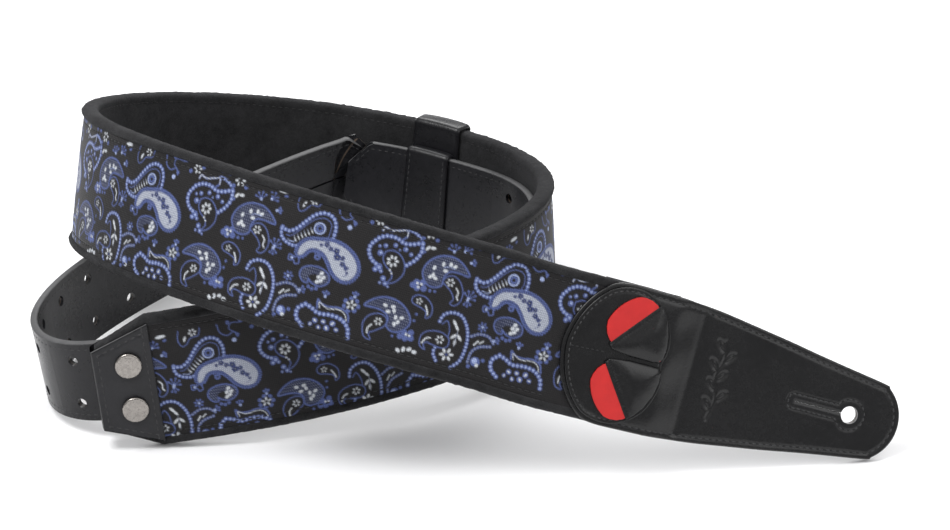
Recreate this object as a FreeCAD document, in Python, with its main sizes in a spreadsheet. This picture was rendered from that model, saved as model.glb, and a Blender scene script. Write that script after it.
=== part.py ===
# Guitar strap: padded fabric belt, leather tab with pick pockets, leather tail, keeper, studs.
# FreeCAD 1.1 macro, millimetres, +Z up.  The strap stands coiled on its long edges.
import FreeCAD, Part
import os, math
import Sketcher
from FreeCAD import Vector, Placement, Rotation, Matrix

doc = FreeCAD.newDocument("GuitarStrap")

# ------------------------------------------------------------------ driving dimensions
DIMS = [
    ("belt_width", 63.5), ("belt_thick", 7.0), ("roll_visible", 3.75), ("lining_thick", 1.0),
    ("fabric_thick", 0.8), ("web_width", 50.0), ("web_thick", 1.4), ("layer_gap", 0.05),
    ("belt_end", 905.0), ("tab_len", 160.0), ("tab_leather", 1.5), ("tab_core", 1.0),
    ("button_hole_d", 7.8), ("slit_w", 1.2), ("slit_end", 49.4), ("hole_from_tip", 23.3),
    ("cap_leather", 1.5), ("cap_back_leather", 1.1), ("cap_len", 24.6),
    ("stud_x", 13.7), ("stud_pitch", 21.6), ("stud_cap_d", 11.8), ("stud_cap_t", 1.3),
    ("stud_post_d", 4.6), ("stud_hole_d", 4.76), ("screw_head_d", 9.4), ("screw_head_t", 1.3),
    ("screw_d", 3.0), ("screw_bore_d", 3.1), ("screw_slot_w", 1.2),
    ("tail_width", 39.0), ("tail_leather", 1.4), ("tail_core_t", 0.4), ("tail_hole_d", 4.8),
    ("tail_hole_pitch", 24.0), ("tail_button_d", 6.4), ("tail_button_in", 12.0),
    ("keeper_len", 26.0), ("keeper_mid", 344.0), ("keeper_leather", 1.7), ("keeper_gap", 0.8),
    ("sleeve_half", 2.6), ("sleeve_leather", 1.4),
    ("pick_thick", 0.9), ("pick_gap", 0.12), ("pocket_leather", 1.3), ("patch_base", 1.2),
    ("pick_out", 10.5), ("pick_in", 20.0), ("pick_half", 13.0),
]
sheet = doc.addObject("Spreadsheet::Sheet", "Dims")
for i, (name, val) in enumerate(DIMS, start=1):
    sheet.set("A%d" % i, name)
    sheet.set("B%d" % i, str(val))
    sheet.setAlias("B%d" % i, name)
doc.recompute()
D = lambda name: float(sheet.get(name))

# Route tables: distance along the strap, centre x y z, across-the-strap vector, outward normal.
BELT_ROUTE = [
    [0.000000, -161.0504, -80.7299, 28.9334, -0.123577, 0.064805, 0.990217, 0.030926, -0.997129, 0.069117],
    [13.7000, -147.4620, -80.1933, 30.5940, -0.123577, 0.064805, 0.990217, 0.030926, -0.997129, 0.069117],
    [28.0000, -133.2785, -79.6333, 32.3275, -0.123577, 0.064805, 0.990217, 0.030926, -0.997129, 0.069117],
    [46.0000, -115.4346, -78.7588, 34.5199, -0.124262, 0.077455, 0.989222, 0.052289, -0.995052, 0.084480],
    [64.0500, -97.5747, -77.2414, 36.6296, -0.123584, 0.089894, 0.988254, 0.097795, -0.989937, 0.102276],
    [82.1000, -79.8167, -74.6995, 38.5931, -0.122600, 0.103141, 0.987082, 0.161428, -0.979268, 0.122375],
    [100.1500, -62.2633, -70.8995, 40.3409, -0.121352, 0.115433, 0.985875, 0.233321, -0.962069, 0.141365],
    [118.2000, -45.0262, -65.7713, 41.8205, -0.119630, 0.125342, 0.984875, 0.306902, -0.938744, 0.156750],
    [136.2500, -28.2212, -59.3060, 42.9951, -0.117094, 0.131807, 0.984335, 0.382154, -0.908854, 0.167160],
    [154.3000, -11.9978, -51.4546, 43.8321, -0.113293, 0.134186, 0.984459, 0.463085, -0.869502, 0.171809],
    [172.3500, 3.4080, -42.0801, 44.2922, -0.107636, 0.132323, 0.985345, 0.555192, -0.814167, 0.169983],
    [190.4000, 17.5992, -30.9526, 44.3235, -0.099390, 0.126641, 0.986957, 0.662631, -0.731526, 0.160594],
    [208.4500, 29.9238, -17.8108, 43.8680, -0.087707, 0.118261, 0.989102, 0.783574, -0.604899, 0.141806],
    [226.5000, 39.4190, -2.5431, 42.8914, -0.071749, 0.109032, 0.991445, 0.901319, -0.418621, 0.111263],
    [244.5500, 44.9536, 14.5113, 41.4421, -0.051120, 0.101420, 0.993529, 0.982711, -0.172154, 0.068137],
    [262.6000, 45.6198, 32.3913, 39.6949, -0.026464, 0.098017, 0.994833, 0.994021, 0.108042, 0.015797],
    [280.6500, 41.2369, 49.7413, 37.9274, 0.000404, 0.100552, 0.994932, 0.927858, 0.371005, -0.037872],
    [298.7000, 32.5423, 65.4294, 36.4139, 0.027247, 0.109028, 0.993665, 0.814234, 0.574231, -0.085334],
    [316.7500, 20.7251, 78.9887, 35.3248, 0.052502, 0.122115, 0.991126, 0.691561, 0.711543, -0.124301],
    [334.8000, 6.8454, 90.4832, 34.7218, 0.075476, 0.138263, 0.987515, 0.579067, 0.800160, -0.156290],
    [352.8500, -8.4113, 100.1028, 34.6200, 0.095825, 0.156434, 0.983029, 0.472445, 0.862100, -0.183243],
    [370.9000, -24.7088, 107.8149, 35.0587, 0.113049, 0.176272, 0.977828, 0.354439, 0.912236, -0.205425],
    [388.9500, -41.8471, 113.3180, 36.1209, 0.126433, 0.197772, 0.972060, 0.214603, 0.951264, -0.221453],
    [407.0000, -59.5486, 116.2319, 37.8956, 0.135175, 0.220629, 0.965945, 0.054643, 0.971750, -0.229602],
    [425.0500, -77.3929, 116.2776, 40.4375, 0.138715, 0.243853, 0.959841, -0.115736, 0.966561, -0.228835],
    [443.1000, -94.8733, 113.3816, 43.7425, 0.137150, 0.265894, 0.954196, -0.283547, 0.933528, -0.219379],
    [461.1500, -111.4869, 107.6565, 47.7564, 0.131451, 0.284998, 0.949472, -0.441031, 0.874589, -0.201461],
    [479.2000, -126.7613, 99.2898, 52.4012, 0.123406, 0.299560, 0.946063, -0.586188, 0.791253, -0.174078],
    [497.2500, -140.2258, 88.4886, 57.5851, 0.115335, 0.308574, 0.944182, -0.717391, 0.683328, -0.135691],
    [515.3000, -151.3901, 75.5008, 63.1901, 0.109686, 0.312011, 0.943725, -0.830660, 0.550198, -0.085360],
    [533.3500, -159.7774, 60.6709, 69.0539, 0.108682, 0.310842, 0.944227, -0.918419, 0.394863, -0.024279],
    [551.4000, -165.0318, 44.4811, 74.9639, 0.113923, 0.306878, 0.944906, -0.973022, 0.226526, 0.043744],
    [569.4500, -167.0105, 27.5072, 80.6807, 0.126035, 0.302361, 0.944824, -0.991838, 0.056958, 0.114079],
    [587.5000, -165.7909, 10.3223, 85.9739, 0.144548, 0.299435, 0.943104, -0.977706, -0.103485, 0.182707],
    [605.5500, -161.6203, -6.5805, 90.6498, 0.168031, 0.299710, 0.939116, -0.936789, -0.248047, 0.246776],
    [623.6000, -154.8382, -22.8220, 94.5622, 0.194397, 0.304001, 0.932627, -0.875976, -0.374074, 0.304523],
    [641.6500, -145.8142, -38.1344, 97.6112, 0.221248, 0.312209, 0.923891, -0.801659, -0.481247, 0.354603],
    [659.7000, -134.9169, -52.3474, 99.7424, 0.246196, 0.323323, 0.913701, -0.719613, -0.570534, 0.395789],
    [677.7500, -122.4808, -65.3584, 100.9358, 0.267354, 0.335731, 0.903220, -0.632939, -0.645590, 0.427319],
    [695.8000, -108.7580, -77.0636, 101.1706, 0.283720, 0.347891, 0.893574, -0.539698, -0.712325, 0.448686],
    [713.8500, -93.9197, -87.2891, 100.3951, 0.295075, 0.358599, 0.885628, -0.435924, -0.774283, 0.458756],
    [731.9000, -78.1268, -95.8006, 98.5462, 0.301890, 0.367026, 0.879860, -0.320447, -0.830155, 0.456241],
    [749.9500, -61.5947, -102.3759, 95.5966, 0.305145, 0.372851, 0.876281, -0.197851, -0.875268, 0.441318],
    [768.0000, -44.6040, -106.9303, 91.6111, 0.305985, 0.376264, 0.874527, -0.080350, -0.905102, 0.417533],
    [786.0500, -27.4356, -109.6292, 86.7705, 0.305371, 0.377666, 0.874138, 0.017238, -0.920029, 0.391471],
    [804.1000, -10.2757, -110.8731, 81.3275, 0.303989, 0.377579, 0.874657, 0.085157, -0.925200, 0.369801],
    [822.1500, 6.8178, -111.1886, 75.5426, 0.302251, 0.376589, 0.875686, 0.121548, -0.926380, 0.356436],
    [848.0000, 31.0137, -111.3163, 66.3872, 0.288025, 0.372898, 0.882037, 0.135540, -0.927671, 0.347930],
    [870.0000, 51.8693, -110.8908, 59.3970, 0.288025, 0.372898, 0.882037, 0.135540, -0.927671, 0.347930],
    [900.0000, 80.3088, -110.3107, 49.8650, 0.288025, 0.372898, 0.882037, 0.135540, -0.927671, 0.347930],
    [940.0000, 118.2281, -109.5371, 37.1556, 0.288025, 0.372898, 0.882037, 0.135540, -0.927671, 0.347930],
    [980.0000, 156.1474, -108.7635, 24.4462, 0.288025, 0.372898, 0.882037, 0.135540, -0.927671, 0.347930],
    [1017.1061, 191.3233, -108.0459, 12.6563, 0.288025, 0.372898, 0.882037, 0.135540, -0.927671, 0.347930],
]

TAIL_ROUTE = [
    [-353.6630, -44.0876, 96.8084, 40.7252, 0.147635, 0.191710, 0.970284, 0.193643, 0.956445, -0.218440],
    [-346.6202, -37.2063, 95.6257, 39.8031, 0.173247, 0.180476, 0.968201, 0.093147, 0.975658, -0.198533],
    [-337.6404, -28.3913, 94.7435, 38.3358, 0.178801, 0.169673, 0.969145, 0.057625, 0.981521, -0.182471],
    [-326.6564, -17.6543, 93.0098, 36.7999, 0.140874, 0.150054, 0.978590, 0.268239, 0.945690, -0.183624],
    [-313.6922, -6.0364, 87.2776, 36.3117, 0.097186, 0.140505, 0.985299, 0.518463, 0.837904, -0.170626],
    [-301.5920, 4.0796, 80.6385, 36.2582, 0.084414, 0.125444, 0.988503, 0.557041, 0.816605, -0.151198],
    [-287.6667, 15.3633, 72.4792, 36.4011, 0.062360, 0.112913, 0.991646, 0.617871, 0.775922, -0.127205],
    [-272.8757, 26.1693, 62.3937, 36.9361, 0.036883, 0.101023, 0.994200, 0.751122, 0.653400, -0.094259],
    [-256.3968, 35.1834, 48.6442, 38.0534, 0.006679, 0.091687, 0.995765, 0.910611, 0.410923, -0.043944],
    [-240.0909, 39.5589, 33.0018, 39.4859, -0.023245, 0.088704, 0.995787, 0.991747, 0.127672, 0.011778],
    [-223.8465, 39.3615, 16.8229, 40.9300, -0.050610, 0.092325, 0.994442, 0.987004, -0.147437, 0.063920],
    [-207.4685, 34.6761, 1.1769, 42.1494, -0.073236, 0.101549, 0.992131, 0.910224, -0.399757, 0.108106],
    [-190.8402, 26.1802, -13.0930, 42.9805, -0.090115, 0.112686, 0.989536, 0.794506, -0.590980, 0.139653],
    [-172.0338, 13.4075, -26.8909, 43.3786, -0.102697, 0.124026, 0.986950, 0.660452, -0.733429, 0.160890],
    [-151.0046, -3.3492, -39.5958, 43.2091, -0.110900, 0.132053, 0.985019, 0.531782, -0.829424, 0.171065],
    [-129.7417, -21.8798, -49.9978, 42.4859, -0.115141, 0.133667, 0.984315, 0.425071, -0.888968, 0.170442],
    [-108.3601, -41.5257, -58.3505, 41.2842, -0.117030, 0.128529, 0.984776, 0.329539, -0.930384, 0.160592],
    [-86.9381, -61.9155, -64.7138, 39.6525, -0.117783, 0.117470, 0.986067, 0.237456, -0.960841, 0.142829],
    [-65.4963, -82.8000, -69.1394, 37.6504, -0.118385, 0.102339, 0.987680, 0.150293, -0.981368, 0.119699],
    [-45.9296, -102.1020, -71.5762, 35.5654, -0.119357, 0.087354, 0.989001, 0.076618, -0.992341, 0.096895],
    [-30.1708, -117.7264, -72.5430, 33.7532, -0.120328, 0.076370, 0.989792, 0.029155, -0.996335, 0.080419],
    [-16.2812, -131.5104, -72.9829, 32.1015, -0.121759, 0.068887, 0.990166, 0.026653, -0.997002, 0.072640],
    [-8.3019, -139.4263, -73.2964, 31.1479, -0.121809, 0.065941, 0.990361, 0.031112, -0.997047, 0.070213],
    [0.000000, -147.6617, -73.6120, 30.1472, -0.125342, 0.064031, 0.990045, 0.031092, -0.997171, 0.068428],
    [7.9982, -155.5922, -73.7624, 29.1201, -0.134582, 0.032070, 0.990383, -0.030306, -0.999142, 0.028235],
    [14.9867, -162.4747, -73.0661, 28.1269, -0.146717, 0.017353, 0.989026, -0.185872, -0.982520, -0.010334],
    [23.9477, -170.8623, -70.2161, 26.7769, -0.161700, 0.013503, 0.986748, -0.449928, -0.890942, -0.061539],
    [36.8267, -180.6108, -62.0013, 24.9455, -0.174020, 0.026651, 0.984381, -0.780090, -0.613798, -0.121287],
    [49.7352, -186.1771, -50.4405, 23.5330, -0.172517, 0.045052, 0.983976, -0.949943, -0.271770, -0.154107],
    [62.6840, -187.6230, -37.6066, 22.5994, -0.163883, 0.058493, 0.984744, -0.986210, 0.013631, -0.164936],
    [75.6586, -185.9396, -24.7531, 22.0570, -0.154615, 0.064869, 0.985843, -0.962485, 0.215310, -0.165119],
    [88.6452, -182.0846, -12.3540, 21.8244, -0.148391, 0.065039, 0.986788, -0.919846, 0.357323, -0.161876],
    [101.6358, -176.6269, -0.565721, 21.8846, -0.146732, 0.060349, 0.987334, -0.868404, 0.470081, -0.157791],
    [114.6276, -169.8372, 10.5040, 22.2680, -0.149606, 0.052018, 0.987376, -0.808747, 0.568052, -0.152467],
    [127.6204, -161.8980, 20.7623, 23.0092, -0.155785, 0.040894, 0.986944, -0.743498, 0.652959, -0.144413],
    [140.6144, -152.9932, 30.1596, 24.1226, -0.163599, 0.027395, 0.986147, -0.677427, 0.723561, -0.132484],
    [153.6099, -143.3187, 38.7106, 25.5949, -0.171357, 0.011889, 0.985137, -0.616156, 0.778949, -0.116576],
    [166.6068, -133.0651, 46.4934, 27.3872, -0.177810, -0.005514, 0.984049, -0.563543, 0.820344, -0.097232],
    [179.6050, -122.3984, 53.6324, 29.4386, -0.180107, -0.023329, 0.983370, -0.524312, 0.848136, -0.075908],
    [192.6042, -111.4539, 60.2822, 31.6699, -0.181678, -0.043707, 0.982386, -0.492191, 0.868911, -0.052365],
    [205.6045, -100.3384, 66.6135, 33.9866, -0.161615, -0.054049, 0.985373, -0.495994, 0.867670, -0.033757],
    [218.8694, -89.1413, 73.4649, 35.8943, -0.111936, -0.045802, 0.992659, -0.541562, 0.840365, -0.022293],
    [232.5100, -77.9103, 81.0955, 37.2007, -0.066932, -0.038593, 0.997011, -0.573459, 0.819206, -0.006788],
    [246.2722, -66.6411, 88.9394, 38.1377, -0.044294, -0.050336, 0.997750, -0.560676, 0.827863, 0.016875],
    [264.5292, -51.2367, 98.6804, 39.2022, -0.012720, -0.060869, 0.998065, -0.512234, 0.857625, 0.045776],
    [272.5030, -44.0959, 102.1792, 39.7932, -0.123963, -0.105723, 0.986639, -0.302038, 0.951147, 0.063971],
    [280.0532, -36.7939, 103.2977, 41.3536, -0.204556, -0.080305, 0.975555, -0.099282, 0.993192, 0.060939],
    [286.7141, -30.2757, 104.3363, 42.2493, 0.000895, -0.055734, 0.998445, -0.285334, 0.956924, 0.053672],
]

route = doc.addObject("Spreadsheet::Sheet", "Route")
def put_route(rows, first):
    for i, row in enumerate(rows):
        for j, v in enumerate(row):
            route.set("%s%d" % ("ABCDEFGHIJ"[j], first + i), "%.6f" % v)
put_route(BELT_ROUTE, 1)
put_route(TAIL_ROUTE, 101)
doc.recompute()
def get_route(first, count):
    out = []
    for i in range(count):
        r = [float(route.get("%s%d" % (c, first + i))) for c in "ABCDEFGHIJ"]
        out.append((r[0], Vector(*r[1:4]), Vector(*r[4:7]), Vector(*r[7:10])))
    return out
BELT = get_route(1, len(BELT_ROUTE))
TAIL = get_route(101, len(TAIL_ROUTE))


class Curve(object):
    """Smooth interpolation of a table of stations (natural cubic spline of each component)."""
    def __init__(self, rows):
        self.rows = rows
        self.s = [r[0] for r in rows]
        self.v = [[x for k in (1, 2, 3) for x in (r[k].x, r[k].y, r[k].z)] for r in rows]
        n, m = len(rows), 9
        self.m2 = [[0.0] * m for _ in range(n)]
        for j in range(m):
            y = [v[j] for v in self.v]
            a, c, d = [0.0] * n, [0.0] * n, [0.0] * n
            for i in range(1, n - 1):
                h0, h1 = self.s[i] - self.s[i - 1], self.s[i + 1] - self.s[i]
                rhs = 6.0 * ((y[i + 1] - y[i]) / h1 - (y[i] - y[i - 1]) / h0)
                den = 2.0 * (h0 + h1) - h0 * c[i - 1]
                c[i] = h1 / den
                d[i] = (rhs - h0 * d[i - 1]) / den
            x = 0.0
            for i in range(n - 2, 0, -1):
                x = d[i] - c[i] * x
                self.m2[i][j] = x
    def at(self, s):
        s = min(max(s, self.s[0]), self.s[-1])
        i = 0
        while i < len(self.s) - 2 and self.s[i + 1] < s:
            i += 1
        h = self.s[i + 1] - self.s[i]
        a, b = (self.s[i + 1] - s) / h, (s - self.s[i]) / h
        o = []
        for j in range(9):
            o.append(a * self.v[i][j] + b * self.v[i + 1][j] + ((a ** 3 - a) * self.m2[i][j] + (b ** 3 - b) * self.m2[i + 1][j]) * h * h / 6.0)
        return Vector(*o[0:3]), Vector(*o[3:6]), Vector(*o[6:9])
    def stations(self, s0, s1):
        out = [s0] + [s for s in self.s if s0 + 2.0 < s < s1 - 2.0] + [s1]
        return [(s,) + self.at(s) for s in out]

belt = Curve(BELT)
tail = Curve(TAIL)


def sweep(curve, s0, s1, poly, step=60.0, shift=0.0):
    """Solid with polygon section poly [(across, out)...] carried along the route from s0 to s1.
    Its long faces are divided every `step` so that each later cut touches only a short face."""
    st = curve.stations(s0, s1)
    par = [q[0] for q in st]
    k0, k1 = int(math.ceil((s0 - shift) / step)), int(math.floor((s1 - shift) / step))
    brk = [s0] + [shift + k * step for k in range(k0, k1 + 1) if s0 + step * 0.3 < shift + k * step < s1 - step * 0.3] + [s1]
    n = len(poly)
    curves, starts, ends = [], [], []
    for a, b in poly:
        pts = [c + w * a + o * b for _, c, w, o in st]
        bs = Part.BSplineCurve()
        bs.interpolate(Points=pts, Parameters=par)
        curves.append(bs)
        starts.append(pts[0])
        ends.append(pts[-1])
    faces = []
    for u0, u1 in zip(brk[:-1], brk[1:]):
        segs = []
        for bs in curves:
            c = bs.copy()
            c.segment(u0, u1)
            segs.append(c.toShape())
        for i in range(n):
            faces += Part.makeRuledSurface(segs[i], segs[(i + 1) % n]).Faces
    for pts in (starts, ends):
        faces.append(Part.Face(Part.makePolygon(pts + [pts[0]])))
    shell = Part.makeShell(faces)
    shell.sewShape()
    solid = Part.Solid(Part.Shell(shell.Faces))
    if solid.Volume < 0:
        solid.reverse()
    return solid


def frame_at(curve, s, sign=1.0):
    """Placement whose X runs along the strap, Y across it (up) and Z outward."""
    c, w, o = curve.at(s)
    w = Vector(w); w.normalize()
    o = o - w * o.dot(w); o.normalize()
    t = w.cross(o)
    m = Matrix(t.x, w.x, o.x, c.x, t.y, w.y, o.y, c.y, t.z, w.z, o.z, c.z, 0, 0, 0, 1)
    return Placement(m)

TIP = frame_at(belt, BELT[-1][0])
END = frame_at(belt, 0.0)


def feature(label, shape):
    f = doc.addObject("Part::Feature", label)
    f.Shape = shape
    f.Placement = Placement()
    f.Label = label
    return f


def new_body(name, place):
    body = doc.addObject("PartDesign::Body", name)
    body.Placement = place
    return body


def plane_of(body, role):
    return [o for o in body.Origin.OriginFeatures if o.Role == role][0]


def new_sketch(body, name, role="XY_Plane", off=None):
    sk = body.newObject("Sketcher::SketchObject", name)
    sk.AttachmentSupport = [(plane_of(body, role), "")]
    sk.MapMode = "FlatFace"
    if off is not None:
        sk.setExpression("AttachmentOffset.Base.z", off)
    return sk


def poly_sketch(sk, pts):
    n = len(pts)
    for i in range(n):
        a, b = pts[i], pts[(i + 1) % n]
        sk.addGeometry(Part.LineSegment(Vector(a[0], a[1], 0), Vector(b[0], b[1], 0)), False)
    for i in range(n):
        sk.addConstraint(Sketcher.Constraint("Coincident", i, 2, (i + 1) % n, 1))


def circle_sketch(sk, x, y, d_expr, x_expr=None, y_expr=None):
    g = sk.addGeometry(Part.Circle(Vector(x, y, 0), Vector(0, 0, 1), 2.0), False)
    c = sk.addConstraint(Sketcher.Constraint("Diameter", g, 4.0))
    sk.setExpression("Constraints[%d]" % c, d_expr)
    cx = sk.addConstraint(Sketcher.Constraint("DistanceX", -1, 1, g, 3, x))
    cy = sk.addConstraint(Sketcher.Constraint("DistanceY", -1, 1, g, 3, y))
    if x_expr:
        sk.setExpression("Constraints[%d]" % cx, x_expr)
    if y_expr:
        sk.setExpression("Constraints[%d]" % cy, y_expr)
    return g


def pad(body, name, sk, expr, reverse=False, mid=False):
    f = body.newObject("PartDesign::Pad", name)
    f.Profile = sk
    f.setExpression("Length", expr)
    f.Reversed = reverse
    f.Midplane = mid
    sk.Visibility = False
    return f


def pocket(body, name, sk, expr=None, mid=True):
    f = body.newObject("PartDesign::Pocket", name)
    f.Profile = sk
    if expr is None:
        f.Length = 60.0
    else:
        f.setExpression("Length", expr)
    f.Midplane = mid
    sk.Visibility = False
    return f


def arc_pts(cx, cy, r, a0, a1, n):
    return [(cx + r * math.cos(math.radians(a0 + (a1 - a0) * i / n)),
             cy + r * math.sin(math.radians(a0 + (a1 - a0) * i / n))) for i in range(n + 1)]


# ------------------------------------------------------------------ outlines in the tab's plane
TAB_TOP = [(-126.0, 31.75), (-108.0, 31.2), (-92.0, 29.9), (-74.0, 27.3), (-58.0, 24.9), (-44.0, 22.5), (-32.0, 20.6)]
TIP_ARC = arc_pts(-19.6, 0.0, 19.6, 62.0, -62.0, 14)
TAB_LEFT = [(-142.5, -30.6), (-147.6, -27.0), (-152.0, -22.0), (-155.8, -15.5), (-158.4, -8.0), (-159.6, 0.0),
            (-158.4, 8.0), (-155.8, 15.5), (-152.0, 22.0), (-147.6, 27.0), (-142.5, 30.6), (-136.0, 31.75)]

def tab_outline(left=True):
    pts = list(TAB_TOP) + TIP_ARC + [(x, -y) for x, y in reversed(TAB_TOP)] + [(-136.0, -31.75)]
    if left:
        pts += TAB_LEFT
    return pts

def inset(pts, d):
    """Offset a closed outline inwards by d."""
    n = len(pts)
    area = sum(pts[i][0] * pts[(i + 1) % n][1] - pts[(i + 1) % n][0] * pts[i][1] for i in range(n))
    sgn = 1.0 if area > 0 else -1.0
    out = []
    for i in range(n):
        x0, y0 = pts[i - 1]; x1, y1 = pts[i]; x2, y2 = pts[(i + 1) % n]
        def nrm(ax, ay, bx, by):
            dx, dy = bx - ax, by - ay
            l = math.hypot(dx, dy)
            return (-dy / l * sgn, dx / l * sgn)
        n0, n1 = nrm(x0, y0, x1, y1), nrm(x1, y1, x2, y2)
        mx, my = n0[0] + n1[0], n0[1] + n1[1]
        k = 2.0 / (mx * mx + my * my)
        out.append((x1 + mx * k * d, y1 + my * k * d))
    return out


# ------------------------------------------------------------------ padded belt
H, B = D("belt_width") / 2, D("belt_thick") / 2
RV, LT, G = D("roll_visible"), D("lining_thick"), D("layer_gap")
FT, WT = D("fabric_thick"), D("web_thick")
S_END = D("belt_end")
# rolled edge: the lining covers the back, goes round both edges and lies on the face's margin
outer_r = [(H - RV, B), (H - 1.2, B), (H - 0.35, B - 0.35), (H, B - 1.2), (H, -B + 1.2), (H - 0.35, -B + 0.35), (H - 1.2, -B)]
inner_r = [(H - 1.2 - LT, -B + LT), (H - LT, -B + 1.2 + LT * 0.4), (H - LT, B - 1.2 - LT * 0.4), (H - 1.2 - LT, B - LT), (H - RV, B - LT)]
section = outer_r + [(-a, b) for a, b in reversed(outer_r)] + [(-a, b) for a, b in inner_r[::-1]][::1]
left_in = [(-a, b) for a, b in reversed(inner_r)]
section = outer_r + [(-a, b) for a, b in reversed(outer_r)] + left_in + inner_r
lining = sweep(belt, 0.0, S_END, section)
fa, fb = H - RV - G, B - FT
fabric = sweep(belt, 0.0, S_END, [(fa, B - 0.15), (-fa, B - 0.15), (-fa, fb), (fa, fb)])
wa = D("web_width") / 2
wb1 = fb - G
wb0 = wb1 - WT
web = sweep(belt, 0.0, S_END - 2.0, [(wa, wb1), (-wa, wb1), (-wa, wb0), (wa, wb0)])
pa = H - LT - G
pb0, pb1 = -B + LT + G, wb0 - G
foam = sweep(belt, 0.0, S_END, [(pa - 1.2, pb1), (-pa + 1.2, pb1), (-pa, pb1 - 0.9), (-pa, pb0 + 0.8), (-pa + 1.2, pb0), (pa - 1.2, pb0), (pa, pb0 + 0.8), (pa, pb1 - 0.9)])

# the belt's end is cut to a blunt point: two corner prisms and the stud holes
def prism(place, pts, z0, z1):
    w = Part.makePolygon([Vector(x, y, z0) for x, y in pts] + [Vector(pts[0][0], pts[0][1], z0)])
    p = Part.Face(w).extrude(Vector(0, 0, z1 - z0))
    p.Placement = place.multiply(p.Placement)
    return p

def corner_cutters(place, y_in, x_in, y_out, z0=-12.0, z1=12.0):
    tri = [(-3.0, y_in - (y_out - y_in) * 3.0 / x_in), (x_in + 3.0, y_out + (y_out - y_in) * 3.0 / x_in), (x_in + 3.0, y_out + 25.0), (-3.0, y_out + 25.0)]
    return [prism(place, tri, z0, z1), prism(place, [(x, -y) for x, y in tri], z0, z1)]

def stud_cutters(dia):
    out = []
    for sy in (1, -1):
        c = Part.makeCylinder(dia / 2, 40.0, Vector(D("stud_x"), sy * D("stud_pitch") / 2, -20.0))
        c.Placement = END.multiply(c.Placement)
        out.append(c)
    return out

end_cut = corner_cutters(END, 20.2, 23.5, 31.75)
in_cut = corner_cutters(END, 20.2 - LT - G, 23.5, 31.75 - LT - G)
posts = stud_cutters(D("stud_hole_d"))
lining = lining.cut(end_cut + posts)
foam = foam.cut(in_cut + posts)
web = web.cut(in_cut + posts)
fab_cut = corner_cutters(END, 20.2 - LT - G - 0.3, 23.5, 31.75 - LT - G - 0.3)
fabric = fabric.cut(fab_cut + posts)
feature("suede_lining", lining)
feature("foam_pad", foam)
feature("webbing_core", web)
feature("fabric_face", fabric)

# ------------------------------------------------------------------ front tab
def tab_plate(label, profile, outline, holes=True):
    """A sheet of leather: its side profile extruded across the strap, cut to the outline."""
    prof = new_body(label + "_profile", TIP)
    sk = new_sketch(prof, label + "_profile_sketch", "XZ_Plane")
    poly_sketch(sk, profile)
    f = pad(prof, label + "_profile_pad", sk, "Dims.belt_width + 4", mid=True)
    outl = new_body(label + "_outline", TIP)
    sk2 = new_sketch(outl, label + "_outline_sketch")
    poly_sketch(sk2, outline)
    f2 = pad(outl, label + "_outline_pad", sk2, "Dims.belt_thick * 4", mid=True)
    if holes:
        sk3 = new_sketch(outl, label + "_button_hole")
        circle_sketch(sk3, -D("hole_from_tip"), 0.0, "Dims.button_hole_d", "-Dims.hole_from_tip")
        pocket(outl, label + "_button_pocket", sk3)
        sk4 = new_sketch(outl, label + "_slit")
        w = D("slit_w") / 2
        x0, x1 = -D("slit_end"), -D("hole_from_tip") - D("button_hole_d") / 2 + 0.4
        poly_sketch(sk4, [(x0, -w), (x1, -w), (x1, w), (x0, w)])
        pocket(outl, label + "_slit_pocket", sk4)
    doc.recompute()
    com = doc.addObject("Part::Common", label)
    com.Base = prof
    com.Tool = outl
    com.Label = label
    doc.recompute()
    return com

TL, TC = D("tab_leather"), D("tab_core")
u_pad = S_END - BELT[-1][0]
z0 = TC / 2
r0, r1 = u_pad + 2.0, u_pad + 13.0
zt = B + 0.05
front_profile = [(-170.0, zt), (r0, zt), (r0 + 3.5, zt - 0.6), (r1 - 3.5, z0 + 0.6), (r1, z0), (4.0, z0),
                 (4.0, z0 + TL), (r1 + 0.3, z0 + TL), (r1 - 3.1, z0 + TL + 0.6), (r0 + 3.9, zt + TL - 0.6), (r0 + 0.4, zt + TL), (-170.0, zt + TL)]
tab_plate("tab_front_leather", front_profile, tab_outline())
back_profile = [(x, -z) for x, z in front_profile]
back_outline = [(x, y) for x, y in tab_outline(False)]
back_outline = list(TAB_TOP) + TIP_ARC + [(x, -y) for x, y in reversed(TAB_TOP)] + [(-146.0, -31.75), (-146.0, 31.75)]
tab_plate("tab_back_leather", back_profile, back_outline)
core_pts = [(x, y) for x, y in inset([(r1 + 1.0, 31.3)] + [(x, y) for x, y in TAB_TOP if x > r1 + 4.0] + TIP_ARC + [(x, -y) for x, y in reversed(TAB_TOP) if x > r1 + 4.0] + [(r1 + 1.0, -31.3)], 2.0)]
core = new_body("tab_stiffener", TIP)
sk = new_sketch(core, "stiffener_sketch"); poly_sketch(sk, core_pts)
pad(core, "stiffener_pad", sk, "Dims.tab_core - 0.02", mid=True)
sk = new_sketch(core, "stiffener_hole"); circle_sketch(sk, -D("hole_from_tip"), 0.0, "Dims.button_hole_d", "-Dims.hole_from_tip")
pocket(core, "stiffener_button", sk)
sk = new_sketch(core, "stiffener_slit")
w = D("slit_w") / 2
poly_sketch(sk, [(-D("slit_end"), -w), (-D("hole_from_tip") - D("button_hole_d") / 2 + 0.4, -w), (-D("hole_from_tip") - D("button_hole_d") / 2 + 0.4, w), (-D("slit_end"), w)])
pocket(core, "stiffener_slit_pocket", sk)
core.Label = "tab_stiffener"
doc.recompute()

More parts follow.
